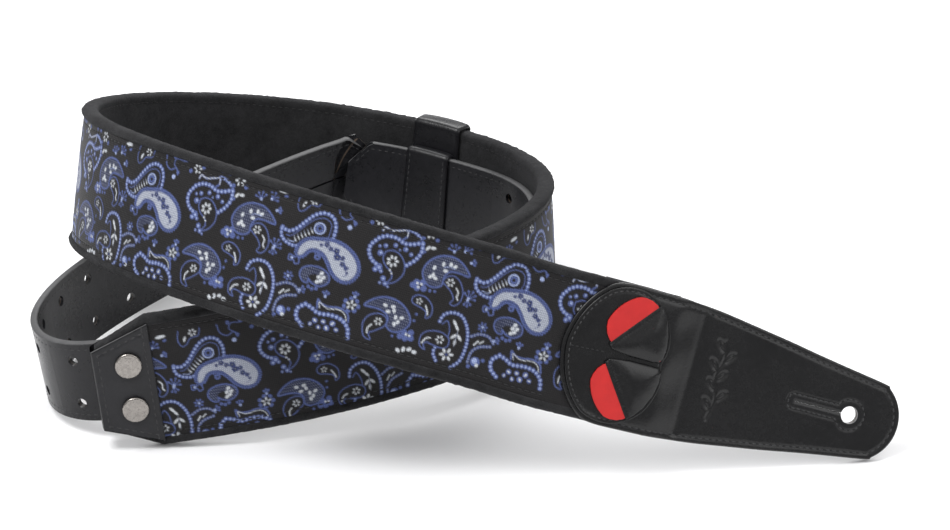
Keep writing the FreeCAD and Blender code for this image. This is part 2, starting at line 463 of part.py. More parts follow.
# ------------------------------------------------------------------ pick holder on the tab
ZB = zt + TL                    # front of the tab leather over the padding
patch = [(-142.0, 28.6), (-146.3, 25.6), (-150.5, 20.9), (-154.1, 14.7), (-156.6, 7.6), (-157.7, 0.0),
         (-156.6, -7.6), (-154.1, -14.7), (-150.5, -20.9), (-146.3, -25.6), (-142.0, -28.6), (-135.0, -30.2),
         (-128.0, -29.6), (-121.0, -26.2), (-115.6, -20.5), (-112.6, -13.0), (-111.8, -6.5), (-113.4, 0.0), (-112.3, 6.5),
         (-112.9, 13.0), (-115.9, 20.5), (-121.5, 27.0), (-129.0, 30.3), (-136.0, 30.4)]
base = new_body("pick_patch_base", TIP)
sk = new_sketch(base, "patch_sketch", off="Dims.belt_thick / 2 + 0.05 + Dims.tab_leather + 0.02"); poly_sketch(sk, patch)
pad(base, "patch_pad", sk, "Dims.patch_base")
base.Label = "pick_patch_base"
doc.recompute()

ZP = ZB + 0.02 + D("patch_base")
OPEN = {"upper": ((-139.0, 5.1), (-122.0, 25.2), (-0.765, 0.645)), "lower": ((-138.6, -4.7), (-123.6, -25.7), (-0.815, -0.580))}
def pick_outline(grow=0.0, stretch=0.0):
    """Rounded triangle: X is the way out of the pocket, tip inside, wide end outside."""
    po, pi, hf = D("pick_out"), D("pick_in"), D("pick_half")
    R = 21.0
    pts = []
    a = math.degrees(math.asin((hf - 4.2) / R))
    pts += [(po - R + R * math.cos(math.radians(q)), R * math.sin(math.radians(q))) for q in [a * k / 5.0 for k in range(-5, 6)]]
    top = pts[-1]
    pts += [(top[0] - 1.9, hf - 2.3), (top[0] - 4.6, hf - 0.7), (top[0] - 7.6, hf), (top[0] - 11.5, hf - 0.5), (-6.0, hf - 3.0), (-11.0, hf - 6.2),
            (-15.5, hf - 9.6), (-18.6, 1.9), (-pi, 0.0)]
    up = [p for p in pts if p[1] > -1e-9 and p[0] <= top[0] - 1.8]
    low = [(x, -y) for x, y in reversed(up[:-1])]
    head = pts[:11]
    ring = head + up + low
    if grow:
        ring = inset(ring, -grow)
    if stretch:
        ring = [(x + stretch if x > -3 else x, y) for x, y in ring]
    return ring
def pick_place(which, z):
    a, b, d = OPEN[which]
    m = Vector((a[0] + b[0]) / 2, (a[1] + b[1]) / 2, z)
    x = Vector(d[0], d[1], 0); x.normalize()
    z_ = Vector(0, 0, 1)
    y = z_.cross(x)
    return TIP.multiply(Placement(Matrix(x.x, y.x, 0, m.x, x.y, y.y, 0, m.y, 0, 0, 1, m.z, 0, 0, 0, 1)))
for which in ("upper", "lower"):
    pk = new_body("pick_" + which, pick_place(which, ZP + D("pick_gap")))
    sk = new_sketch(pk, "pick_%s_sketch" % which); poly_sketch(sk, pick_outline())
    pad(pk, "pick_%s_pad" % which, sk, "Dims.pick_thick")
    pk.Label = "pick_" + which
doc.recompute()

POCKETS = {
    "upper": [(-139.6, 4.4), (-121.4, 25.9), (-118.9, 23.6), (-116.2, 19.3), (-114.2, 14.0), (-113.3, 8.6), (-113.7, 3.4), (-115.2, 1.0), (-118.5, 0.75), (-128.0, 0.9), (-137.5, 2.2)],
    "lower": [(-139.2, -4.0), (-137.2, -1.9), (-128.0, -0.6), (-118.5, -0.55), (-114.6, -0.8), (-112.8, -2.6), (-112.6, -7.4), (-113.7, -13.4), (-116.4, -19.0), (-119.9, -23.4), (-123.0, -26.4)],
}
for which in ("upper", "lower"):
    pb = new_body(which + "_pick_pocket", TIP)
    zexp = "Dims.belt_thick / 2 + 0.05 + Dims.tab_leather + 0.04 + Dims.patch_base"
    sk = new_sketch(pb, which + "_pocket_sketch", off=zexp); poly_sketch(sk, POCKETS[which])
    pad(pb, which + "_pocket_pad", sk, "Dims.pick_thick + 2 * Dims.pick_gap + Dims.pocket_leather")
    pb.Label = which + "_pick_pocket"
    pl = pick_place(which, 0.0)
    loc = TIP.inverse().multiply(pl)
    ring = pick_outline(0.35, 2.0)
    pts = [loc.multVec(Vector(x, y, 0)) for x, y in ring]
    sk = new_sketch(pb, which + "_slot_sketch", off=zexp + " - 0.01"); poly_sketch(sk, [(p.x, p.y) for p in pts])
    pc = pb.newObject("PartDesign::Pocket", which + "_slot")
    pc.Profile = sk
    pc.setExpression("Length", "Dims.pick_thick + 2 * Dims.pick_gap + 0.01")
    pc.Reversed = True
    sk.Visibility = False
doc.recompute()

# ------------------------------------------------------------------ rear end cap, studs and screws
CL, CB = D("cap_leather"), D("cap_back_leather")
cap_pts = [(-0.1, 19.7), (24.6, 28.4), (24.6, -28.4), (-0.1, -19.7)]
cap = new_body("end_cap_front", END)
sk = new_sketch(cap, "cap_sketch", off="Dims.belt_thick / 2 + 0.05")
poly_sketch(sk, [(-1.7, 19.2), (24.6, 28.4), (24.6, -28.4), (-1.7, -19.2)])
pad(cap, "cap_pad", sk, "Dims.cap_leather")
sk = new_sketch(cap, "cap_wall_sketch", off="-Dims.belt_thick / 2 - 0.05")
poly_sketch(sk, [(-1.7, 19.2), (-0.1, 19.7), (-0.1, -19.7), (-1.7, -19.2)])
pad(cap, "cap_wall", sk, "Dims.belt_thick + 0.1")
sk = new_sketch(cap, "cap_holes")
circle_sketch(sk, D("stud_x"), D("stud_pitch") / 2, "Dims.stud_hole_d", "Dims.stud_x", "Dims.stud_pitch / 2")
circle_sketch(sk, D("stud_x"), -D("stud_pitch") / 2, "Dims.stud_hole_d", "Dims.stud_x", "-Dims.stud_pitch / 2")
pocket(cap, "cap_hole_pocket", sk)
cap.Label = "end_cap_front"
capb = new_body("end_cap_back", END)
sk = new_sketch(capb, "capback_sketch", off="-Dims.belt_thick / 2 - 0.05 - Dims.cap_back_leather")
poly_sketch(sk, [(-1.7, 19.2), (24.6, 28.4), (24.6, -28.4), (-1.7, -19.2)])
pad(capb, "capback_pad", sk, "Dims.cap_back_leather")
sk = new_sketch(capb, "capback_holes")
circle_sketch(sk, D("stud_x"), D("stud_pitch") / 2, "Dims.stud_hole_d", "Dims.stud_x", "Dims.stud_pitch / 2")
circle_sketch(sk, D("stud_x"), -D("stud_pitch") / 2, "Dims.stud_hole_d", "Dims.stud_x", "-Dims.stud_pitch / 2")
pocket(capb, "capback_hole_pocket", sk)
capb.Label = "end_cap_back"
doc.recompute()

TT = 2 * D("tail_leather") + D("tail_core_t")
z_front = B + 0.05 + CL                     # front of the cap leather
z_tail = 6.6 + TT / 2                       # back of the tail at the studs
for which, sy in (("upper", 1), ("lower", -1)):
    b_ = new_body("stud_" + which, END.multiply(Placement(Vector(D("stud_x"), sy * D("stud_pitch") / 2, 0), Rotation())))
    sk = new_sketch(b_, "stud_%s_profile" % which, "XZ_Plane")
    rc, rp, rb = D("stud_cap_d") / 2, D("stud_post_d") / 2, D("screw_bore_d") / 2
    t_ = D("stud_cap_t")
    z1 = z_front + 0.05
    prof = [(0, -z_tail + 2.0 + 3.0), (rb, -z_tail + 2.0 + 3.0 - 0.0), (rb, -z_tail + 0.6), (rp, -z_tail + 0.6), (rp, z1), (rc, z1), (rc, z1 + t_ - 0.45),
            (rc - 0.45, z1 + t_ - 0.08), (rc - 1.4, z1 + t_), (0, z1 + t_)]
    prof[0] = (0, 3.0); prof[1] = (rb, 3.0)
    poly_sketch(sk, prof)
    rev = b_.newObject("PartDesign::Revolution", "stud_%s_turned" % which)
    rev.Profile = sk
    rev.ReferenceAxis = (sk, ["V_Axis"])
    rev.Angle = 360.0
    b_.Label = "stud_" + which
    s_ = new_body("stud_screw_" + which, END.multiply(Placement(Vector(D("stud_x"), sy * D("stud_pitch") / 2, 0), Rotation())))
    sk = new_sketch(s_, "screw_%s_profile" % which, "XZ_Plane")
    rs, rh, th = D("screw_d") / 2, D("screw_head_d") / 2, D("screw_head_t")
    zh = -z_tail - 0.4
    poly_sketch(sk, [(0, 1.6), (rs - 0.3, 1.6), (rs, 1.3), (rs, zh), (rh, zh), (rh, zh - th + 0.5), (rh - 1.0, zh - th), (0, zh - th)])
    rev = s_.newObject("PartDesign::Revolution", "screw_%s_turned" % which)
    rev.Profile = sk
    rev.ReferenceAxis = (sk, ["V_Axis"])
    rev.Angle = 360.0
    sk = new_sketch(s_, "screw_%s_slot" % which)
    sk.AttachmentOffset = Placement(Vector(0, 0, zh - th - 0.1), Rotation())
    ws = D("screw_slot_w") / 2
    poly_sketch(sk, [(-rh - 1, -ws), (rh + 1, -ws), (rh + 1, ws), (-rh - 1, ws)])
    pc = s_.newObject("PartDesign::Pocket", "screw_%s_slot_cut" % which)
    pc.Profile = sk
    pc.Length = 0.75
    pc.Reversed = True
    sk.Visibility = False
    s_.Label = "stud_screw_" + which
doc.recompute()

# ------------------------------------------------------------------ tail
TW = D("tail_width") / 2
LE = D("tail_leather")
ct = D("tail_core_t") / 2
s_b, s_a = TAIL[0][0], TAIL[-1][0]
def tail_layer(z0_, z1_, inset_w, inset_e):
    return sweep(tail, s_b + inset_e, s_a - inset_e, [(TW - inset_w, z1_), (-TW + inset_w, z1_), (-TW + inset_w, z0_), (TW - inset_w, z0_)], D("tail_hole_pitch"), D("tail_hole_pitch") / 2)
outer_l = tail_layer(ct, ct + LE, 0.0, 0.0)
inner_l = tail_layer(-ct - LE, -ct, 0.0, 0.0)
core_l = tail_layer(-ct + 0.02, ct - 0.02, 2.0, 2.0)
cuts = []
for s_, sg in ((s_b, 1), (s_a, -1)):
    c, w_, o_ = tail.at(s_)
    for sy in (1, -1):
        # 11 mm x 9 mm chamfer at each corner of the end
        t_ = w_.cross(o_); t_.normalize()
        c2, _, _ = tail.at(s_ + sg * 5.0)
        t_ = (c2 - c); t_.normalize()
        wv = w_ * sy
        p = [c + wv * (TW - 11.5) - t_ * 0.0, c + wv * (TW + 0.6) + t_ * 9.5, c + wv * (TW + 12) + t_ * 9.5, c + wv * (TW + 12) - t_ * 6.0, c + wv * (TW - 11.5 - 7.5) - t_ * 6.0]
        face = Part.Face(Part.makePolygon([q - o_ * 2.05 for q in p] + [p[0] - o_ * 2.05]))
        cuts.append(face.extrude(o_ * 4.1))
def hole_cut(s_, a_, r_):
    c, w_, o_ = tail.at(s_)
    o_ = Vector(o_); o_.normalize()
    return Part.makeCylinder(r_, 4.1, c + w_ * a_ - o_ * 2.05, o_)
P_ = D("tail_hole_pitch")
holes = []
for k in range(-11, 7):
    if k == 0:
        continue
    for sy in (1, -1):
        holes.append(hole_cut(k * P_, sy * D("stud_pitch") / 2, D("tail_hole_d") / 2))
for sy in (1, -1):
    holes.append(hole_cut(0.0, sy * D("stud_pitch") / 2, D("stud_hole_d") / 2 + 0.22))
s_btn = s_a - D("tail_button_in")
holes.append(hole_cut(s_btn, 0.0, D("tail_button_d") / 2))
# the slit that lets the strap button's head through
c, w_, o_ = tail.at(s_btn)
c2, _, _ = tail.at(s_btn - 24.0)
t_ = (c2 - c); t_.normalize()
q0 = c + t_ * (D("tail_button_d") / 2 - 0.4)
q1 = c + t_ * 24.0
sl = [q0 + w_ * 0.5, q1 + w_ * 0.5, q1 - w_ * 0.5, q0 - w_ * 0.5]
holes.append(Part.Face(Part.makePolygon([q - o_ * 2.05 for q in sl] + [sl[0] - o_ * 2.05])).extrude(o_ * 4.1))
for lab, shp in (("tail_outer_leather", outer_l), ("tail_core", core_l), ("tail_inner_leather", inner_l)):
    feature(lab, shp.cut(cuts + holes))

# ------------------------------------------------------------------ keeper
KG, KL = D("keeper_gap"), D("keeper_leather")
s0k, s1k = D("keeper_mid") - D("keeper_len") / 2, D("keeper_mid") + D("keeper_len") / 2
def ring_section(cb, ha, hb, th):
    """Outer and inner rounded rectangles (across, out) about out = cb."""
    def rr(a, b, r):
        return [(a - r, cb + b), (a - r * 0.3, cb + b - r * 0.3), (a, cb + b - r), (a, cb - b + r), (a - r * 0.3, cb - b + r * 0.3), (a - r, cb - b),
                (-a + r, cb - b), (-a + r * 0.3, cb - b + r * 0.3), (-a, cb - b + r), (-a, cb + b - r), (-a + r * 0.3, cb + b - r * 0.3), (-a + r, cb + b)]
    return rr(ha + th, hb + th, 1.4 + th * 0.6), rr(ha, hb, 1.2)
def ring(curve, sa, sb_, cb, ha, hb, th):
    o, i = ring_section(cb, ha, hb, th)
    return sweep(curve, sa, sb_, o).cut(sweep(curve, sa - 3.0, sb_ + 3.0, i))
loop = ring(belt, s0k, s1k, 0.0, H + KG, B + KG, KL)
feature("keeper_loop", loop)
# the sleeve rides on the back of the loop and holds the tail's free end
ths = D("sleeve_leather")
hb_s = D("sleeve_half")
sleeve = ring(belt, s0k, s1k, -(B + KG + KL) - hb_s - ths, TW + 0.8, hb_s, ths)
feature("keeper_sleeve", sleeve)
doc.recompute()

# ------------------------------------------------------------------ checks and export
NODES = ["fabric_face", "foam_pad", "webbing_core", "suede_lining", "tab_front_leather", "tab_stiffener", "tab_back_leather",
         "pick_patch_base", "upper_pick_pocket", "lower_pick_pocket", "pick_upper", "pick_lower", "end_cap_front", "end_cap_back",
         "stud_upper", "stud_lower", "stud_screw_upper", "stud_screw_lower", "tail_outer_leather", "tail_core", "tail_inner_leather",
         "keeper_loop", "keeper_sleeve"]
for o in doc.Objects:
    bad = [q for q in o.State if q in ("Invalid", "Error")]
    if bad:
        raise RuntimeError("%s is %s" % (o.Name, bad))
os.makedirs("parts", exist_ok=True)
for node in NODES:
    objs = [o for o in doc.Objects if o.Label == node]
    if len(objs) != 1:
        raise RuntimeError("label %s: %d objects" % (node, len(objs)))
    shp = objs[0].Shape
    if shp.isNull() or not shp.isValid() or shp.Volume <= 0:
        raise RuntimeError("%s has a bad shape" % node)
    print("%-20s %9.1f mm3 solids %d" % (node, shp.Volume, len(shp.Solids)))
    shp.exportStep("parts/%s.step" % node)
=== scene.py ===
# Looks of the coiled guitar strap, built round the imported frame. Metres, same frame as the design.
import bpy, bmesh, math
import numpy as np
from mathutils import Matrix, Vector


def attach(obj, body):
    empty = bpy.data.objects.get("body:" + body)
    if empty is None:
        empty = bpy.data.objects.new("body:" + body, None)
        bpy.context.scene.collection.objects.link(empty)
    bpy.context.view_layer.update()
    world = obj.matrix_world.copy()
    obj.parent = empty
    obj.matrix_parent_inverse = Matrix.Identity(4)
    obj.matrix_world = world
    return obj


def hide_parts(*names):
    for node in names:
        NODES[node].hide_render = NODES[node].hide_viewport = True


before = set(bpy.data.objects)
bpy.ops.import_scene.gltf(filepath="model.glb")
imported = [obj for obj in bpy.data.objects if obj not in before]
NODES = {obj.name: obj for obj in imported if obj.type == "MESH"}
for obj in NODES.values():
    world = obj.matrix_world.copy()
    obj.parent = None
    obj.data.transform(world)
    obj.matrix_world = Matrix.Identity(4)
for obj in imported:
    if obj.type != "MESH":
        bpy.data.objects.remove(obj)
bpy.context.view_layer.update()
rng = np.random.default_rng(7)

# Route of the strap in millimetres: distance, centre, across, outward normal.
BELT_ROUTE = [
    [0.000000, -161.0504, -80.7299, 28.9334, -0.123577, 0.064805, 0.990217, 0.030926, -0.997129, 0.069117],
    [13.7000, -147.4620, -80.1933, 30.5940, -0.123577, 0.064805, 0.990217, 0.030926, -0.997129, 0.069117],
    [28.0000, -133.2785, -79.6333, 32.3275, -0.123577, 0.064805, 0.990217, 0.030926, -0.997129, 0.069117],
    [46.0000, -115.4346, -78.7588, 34.5199, -0.124262, 0.077455, 0.989222, 0.052289, -0.995052, 0.084480],
    [64.0500, -97.5747, -77.2414, 36.6296, -0.123584, 0.089894, 0.988254, 0.097795, -0.989937, 0.102276],
    [82.1000, -79.8167, -74.6995, 38.5931, -0.122600, 0.103141, 0.987082, 0.161428, -0.979268, 0.122375],
    [100.1500, -62.2633, -70.8995, 40.3409, -0.121352, 0.115433, 0.985875, 0.233321, -0.962069, 0.141365],
    [118.2000, -45.0262, -65.7713, 41.8205, -0.119630, 0.125342, 0.984875, 0.306902, -0.938744, 0.156750],
    [136.2500, -28.2212, -59.3060, 42.9951, -0.117094, 0.131807, 0.984335, 0.382154, -0.908854, 0.167160],
    [154.3000, -11.9978, -51.4546, 43.8321, -0.113293, 0.134186, 0.984459, 0.463085, -0.869502, 0.171809],
    [172.3500, 3.4080, -42.0801, 44.2922, -0.107636, 0.132323, 0.985345, 0.555192, -0.814167, 0.169983],
    [190.4000, 17.5992, -30.9526, 44.3235, -0.099390, 0.126641, 0.986957, 0.662631, -0.731526, 0.160594],
    [208.4500, 29.9238, -17.8108, 43.8680, -0.087707, 0.118261, 0.989102, 0.783574, -0.604899, 0.141806],
    [226.5000, 39.4190, -2.5431, 42.8914, -0.071749, 0.109032, 0.991445, 0.901319, -0.418621, 0.111263],
    [244.5500, 44.9536, 14.5113, 41.4421, -0.051120, 0.101420, 0.993529, 0.982711, -0.172154, 0.068137],
    [262.6000, 45.6198, 32.3913, 39.6949, -0.026464, 0.098017, 0.994833, 0.994021, 0.108042, 0.015797],
    [280.6500, 41.2369, 49.7413, 37.9274, 0.000404, 0.100552, 0.994932, 0.927858, 0.371005, -0.037872],
    [298.7000, 32.5423, 65.4294, 36.4139, 0.027247, 0.109028, 0.993665, 0.814234, 0.574231, -0.085334],
    [316.7500, 20.7251, 78.9887, 35.3248, 0.052502, 0.122115, 0.991126, 0.691561, 0.711543, -0.124301],
    [334.8000, 6.8454, 90.4832, 34.7218, 0.075476, 0.138263, 0.987515, 0.579067, 0.800160, -0.156290],
    [352.8500, -8.4113, 100.1028, 34.6200, 0.095825, 0.156434, 0.983029, 0.472445, 0.862100, -0.183243],
    [370.9000, -24.7088, 107.8149, 35.0587, 0.113049, 0.176272, 0.977828, 0.354439, 0.912236, -0.205425],
    [388.9500, -41.8471, 113.3180, 36.1209, 0.126433, 0.197772, 0.972060, 0.214603, 0.951264, -0.221453],
    [407.0000, -59.5486, 116.2319, 37.8956, 0.135175, 0.220629, 0.965945, 0.054643, 0.971750, -0.229602],
    [425.0500, -77.3929, 116.2776, 40.4375, 0.138715, 0.243853, 0.959841, -0.115736, 0.966561, -0.228835],
    [443.1000, -94.8733, 113.3816, 43.7425, 0.137150, 0.265894, 0.954196, -0.283547, 0.933528, -0.219379],
    [461.1500, -111.4869, 107.6565, 47.7564, 0.131451, 0.284998, 0.949472, -0.441031, 0.874589, -0.201461],
    [479.2000, -126.7613, 99.2898, 52.4012, 0.123406, 0.299560, 0.946063, -0.586188, 0.791253, -0.174078],
    [497.2500, -140.2258, 88.4886, 57.5851, 0.115335, 0.308574, 0.944182, -0.717391, 0.683328, -0.135691],
    [515.3000, -151.3901, 75.5008, 63.1901, 0.109686, 0.312011, 0.943725, -0.830660, 0.550198, -0.085360],
    [533.3500, -159.7774, 60.6709, 69.0539, 0.108682, 0.310842, 0.944227, -0.918419, 0.394863, -0.024279],
    [551.4000, -165.0318, 44.4811, 74.9639, 0.113923, 0.306878, 0.944906, -0.973022, 0.226526, 0.043744],
    [569.4500, -167.0105, 27.5072, 80.6807, 0.126035, 0.302361, 0.944824, -0.991838, 0.056958, 0.114079],
    [587.5000, -165.7909, 10.3223, 85.9739, 0.144548, 0.299435, 0.943104, -0.977706, -0.103485, 0.182707],
    [605.5500, -161.6203, -6.5805, 90.6498, 0.168031, 0.299710, 0.939116, -0.936789, -0.248047, 0.246776],
    [623.6000, -154.8382, -22.8220, 94.5622, 0.194397, 0.304001, 0.932627, -0.875976, -0.374074, 0.304523],
    [641.6500, -145.8142, -38.1344, 97.6112, 0.221248, 0.312209, 0.923891, -0.801659, -0.481247, 0.354603],
    [659.7000, -134.9169, -52.3474, 99.7424, 0.246196, 0.323323, 0.913701, -0.719613, -0.570534, 0.395789],
    [677.7500, -122.4808, -65.3584, 100.9358, 0.267354, 0.335731, 0.903220, -0.632939, -0.645590, 0.427319],
    [695.8000, -108.7580, -77.0636, 101.1706, 0.283720, 0.347891, 0.893574, -0.539698, -0.712325, 0.448686],
    [713.8500, -93.9197, -87.2891, 100.3951, 0.295075, 0.358599, 0.885628, -0.435924, -0.774283, 0.458756],
    [731.9000, -78.1268, -95.8006, 98.5462, 0.301890, 0.367026, 0.879860, -0.320447, -0.830155, 0.456241],
    [749.9500, -61.5947, -102.3759, 95.5966, 0.305145, 0.372851, 0.876281, -0.197851, -0.875268, 0.441318],
    [768.0000, -44.6040, -106.9303, 91.6111, 0.305985, 0.376264, 0.874527, -0.080350, -0.905102, 0.417533],
    [786.0500, -27.4356, -109.6292, 86.7705, 0.305371, 0.377666, 0.874138, 0.017238, -0.920029, 0.391471],
    [804.1000, -10.2757, -110.8731, 81.3275, 0.303989, 0.377579, 0.874657, 0.085157, -0.925200, 0.369801],
    [822.1500, 6.8178, -111.1886, 75.5426, 0.302251, 0.376589, 0.875686, 0.121548, -0.926380, 0.356436],
    [848.0000, 31.0137, -111.3163, 66.3872, 0.288025, 0.372898, 0.882037, 0.135540, -0.927671, 0.347930],
    [870.0000, 51.8693, -110.8908, 59.3970, 0.288025, 0.372898, 0.882037, 0.135540, -0.927671, 0.347930],
    [900.0000, 80.3088, -110.3107, 49.8650, 0.288025, 0.372898, 0.882037, 0.135540, -0.927671, 0.347930],
    [940.0000, 118.2281, -109.5371, 37.1556, 0.288025, 0.372898, 0.882037, 0.135540, -0.927671, 0.347930],
    [980.0000, 156.1474, -108.7635, 24.4462, 0.288025, 0.372898, 0.882037, 0.135540, -0.927671, 0.347930],
    [1017.1061, 191.3233, -108.0459, 12.6563, 0.288025, 0.372898, 0.882037, 0.135540, -0.927671, 0.347930],
]

TAIL_ROUTE = [
    [-353.6630, -44.0876, 96.8084, 40.7252, 0.147635, 0.191710, 0.970284, 0.193643, 0.956445, -0.218440],
    [-346.6202, -37.2063, 95.6257, 39.8031, 0.173247, 0.180476, 0.968201, 0.093147, 0.975658, -0.198533],
    [-337.6404, -28.3913, 94.7435, 38.3358, 0.178801, 0.169673, 0.969145, 0.057625, 0.981521, -0.182471],
    [-326.6564, -17.6543, 93.0098, 36.7999, 0.140874, 0.150054, 0.978590, 0.268239, 0.945690, -0.183624],
    [-313.6922, -6.0364, 87.2776, 36.3117, 0.097186, 0.140505, 0.985299, 0.518463, 0.837904, -0.170626],
    [-301.5920, 4.0796, 80.6385, 36.2582, 0.084414, 0.125444, 0.988503, 0.557041, 0.816605, -0.151198],
    [-287.6667, 15.3633, 72.4792, 36.4011, 0.062360, 0.112913, 0.991646, 0.617871, 0.775922, -0.127205],
    [-272.8757, 26.1693, 62.3937, 36.9361, 0.036883, 0.101023, 0.994200, 0.751122, 0.653400, -0.094259],
    [-256.3968, 35.1834, 48.6442, 38.0534, 0.006679, 0.091687, 0.995765, 0.910611, 0.410923, -0.043944],
    [-240.0909, 39.5589, 33.0018, 39.4859, -0.023245, 0.088704, 0.995787, 0.991747, 0.127672, 0.011778],
    [-223.8465, 39.3615, 16.8229, 40.9300, -0.050610, 0.092325, 0.994442, 0.987004, -0.147437, 0.063920],
    [-207.4685, 34.6761, 1.1769, 42.1494, -0.073236, 0.101549, 0.992131, 0.910224, -0.399757, 0.108106],
    [-190.8402, 26.1802, -13.0930, 42.9805, -0.090115, 0.112686, 0.989536, 0.794506, -0.590980, 0.139653],
    [-172.0338, 13.4075, -26.8909, 43.3786, -0.102697, 0.124026, 0.986950, 0.660452, -0.733429, 0.160890],
    [-151.0046, -3.3492, -39.5958, 43.2091, -0.110900, 0.132053, 0.985019, 0.531782, -0.829424, 0.171065],
    [-129.7417, -21.8798, -49.9978, 42.4859, -0.115141, 0.133667, 0.984315, 0.425071, -0.888968, 0.170442],
    [-108.3601, -41.5257, -58.3505, 41.2842, -0.117030, 0.128529, 0.984776, 0.329539, -0.930384, 0.160592],
    [-86.9381, -61.9155, -64.7138, 39.6525, -0.117783, 0.117470, 0.986067, 0.237456, -0.960841, 0.142829],
    [-65.4963, -82.8000, -69.1394, 37.6504, -0.118385, 0.102339, 0.987680, 0.150293, -0.981368, 0.119699],
    [-45.9296, -102.1020, -71.5762, 35.5654, -0.119357, 0.087354, 0.989001, 0.076618, -0.992341, 0.096895],
    [-30.1708, -117.7264, -72.5430, 33.7532, -0.120328, 0.076370, 0.989792, 0.029155, -0.996335, 0.080419],
    [-16.2812, -131.5104, -72.9829, 32.1015, -0.121759, 0.068887, 0.990166, 0.026653, -0.997002, 0.072640],
    [-8.3019, -139.4263, -73.2964, 31.1479, -0.121809, 0.065941, 0.990361, 0.031112, -0.997047, 0.070213],
    [0.000000, -147.6617, -73.6120, 30.1472, -0.125342, 0.064031, 0.990045, 0.031092, -0.997171, 0.068428],
    [7.9982, -155.5922, -73.7624, 29.1201, -0.134582, 0.032070, 0.990383, -0.030306, -0.999142, 0.028235],
    [14.9867, -162.4747, -73.0661, 28.1269, -0.146717, 0.017353, 0.989026, -0.185872, -0.982520, -0.010334],
    [23.9477, -170.8623, -70.2161, 26.7769, -0.161700, 0.013503, 0.986748, -0.449928, -0.890942, -0.061539],
    [36.8267, -180.6108, -62.0013, 24.9455, -0.174020, 0.026651, 0.984381, -0.780090, -0.613798, -0.121287],
    [49.7352, -186.1771, -50.4405, 23.5330, -0.172517, 0.045052, 0.983976, -0.949943, -0.271770, -0.154107],
    [62.6840, -187.6230, -37.6066, 22.5994, -0.163883, 0.058493, 0.984744, -0.986210, 0.013631, -0.164936],
    [75.6586, -185.9396, -24.7531, 22.0570, -0.154615, 0.064869, 0.985843, -0.962485, 0.215310, -0.165119],
    [88.6452, -182.0846, -12.3540, 21.8244, -0.148391, 0.065039, 0.986788, -0.919846, 0.357323, -0.161876],
    [101.6358, -176.6269, -0.565721, 21.8846, -0.146732, 0.060349, 0.987334, -0.868404, 0.470081, -0.157791],
    [114.6276, -169.8372, 10.5040, 22.2680, -0.149606, 0.052018, 0.987376, -0.808747, 0.568052, -0.152467],
    [127.6204, -161.8980, 20.7623, 23.0092, -0.155785, 0.040894, 0.986944, -0.743498, 0.652959, -0.144413],
    [140.6144, -152.9932, 30.1596, 24.1226, -0.163599, 0.027395, 0.986147, -0.677427, 0.723561, -0.132484],
    [153.6099, -143.3187, 38.7106, 25.5949, -0.171357, 0.011889, 0.985137, -0.616156, 0.778949, -0.116576],
    [166.6068, -133.0651, 46.4934, 27.3872, -0.177810, -0.005514, 0.984049, -0.563543, 0.820344, -0.097232],
    [179.6050, -122.3984, 53.6324, 29.4386, -0.180107, -0.023329, 0.983370, -0.524312, 0.848136, -0.075908],
    [192.6042, -111.4539, 60.2822, 31.6699, -0.181678, -0.043707, 0.982386, -0.492191, 0.868911, -0.052365],
    [205.6045, -100.3384, 66.6135, 33.9866, -0.161615, -0.054049, 0.985373, -0.495994, 0.867670, -0.033757],
    [218.8694, -89.1413, 73.4649, 35.8943, -0.111936, -0.045802, 0.992659, -0.541562, 0.840365, -0.022293],
    [232.5100, -77.9103, 81.0955, 37.2007, -0.066932, -0.038593, 0.997011, -0.573459, 0.819206, -0.006788],
    [246.2722, -66.6411, 88.9394, 38.1377, -0.044294, -0.050336, 0.997750, -0.560676, 0.827863, 0.016875],
    [264.5292, -51.2367, 98.6804, 39.2022, -0.012720, -0.060869, 0.998065, -0.512234, 0.857625, 0.045776],
    [272.5030, -44.0959, 102.1792, 39.7932, -0.123963, -0.105723, 0.986639, -0.302038, 0.951147, 0.063971],
    [280.0532, -36.7939, 103.2977, 41.3536, -0.204556, -0.080305, 0.975555, -0.099282, 0.993192, 0.060939],
    [286.7141, -30.2757, 104.3363, 42.2493, 0.000895, -0.055734, 0.998445, -0.285334, 0.956924, 0.053672],
]

# ---------------------------------------------------------------- route evaluation
class Curve:
    def __init__(self, rows):
        r = np.array(rows, float)
        self.s, self.v = r[:, 0], r[:, 1:]
        n = len(r)
        a, c = np.zeros(n), np.zeros(n)
        m2, d = np.zeros_like(self.v), np.zeros_like(self.v)
        for i in range(1, n - 1):
            h0, h1 = self.s[i] - self.s[i - 1], self.s[i + 1] - self.s[i]
            rhs = 6 * ((self.v[i + 1] - self.v[i]) / h1 - (self.v[i] - self.v[i - 1]) / h0)
            den = 2 * (h0 + h1) - h0 * c[i - 1]
            c[i] = h1 / den
            d[i] = (rhs - h0 * d[i - 1]) / den
        x = np.zeros(self.v.shape[1])
        for i in range(n - 2, 0, -1):
            x = d[i] - c[i] * x
            m2[i] = x
        self.m2 = m2
    def at(self, s):
        s = np.clip(np.atleast_1d(np.asarray(s, float)), self.s[0], self.s[-1])
        i = np.clip(np.searchsorted(self.s, s) - 1, 0, len(self.s) - 2)
        h = self.s[i + 1] - self.s[i]
        a, b = ((self.s[i + 1] - s) / h)[:, None], ((s - self.s[i]) / h)[:, None]
        o = a * self.v[i] + b * self.v[i + 1] + ((a ** 3 - a) * self.m2[i] + (b ** 3 - b) * self.m2[i + 1]) * (h * h / 6)[:, None]
        return o[:, :3], o[:, 3:6], o[:, 6:9]
    def point(self, s, a, b):
        """World points in metres for arrays s, a (across), b (out)."""
        s, a, b = np.broadcast_arrays(np.asarray(s, float), np.asarray(a, float), np.asarray(b, float))
        sh = s.shape
        c, w, n = self.at(s.ravel())
        p = c + w * a.ravel()[:, None] + n * b.ravel()[:, None]
        return (p / 1000).reshape(sh + (3,))
    def normal(self, s):
        return self.at(s)[2]

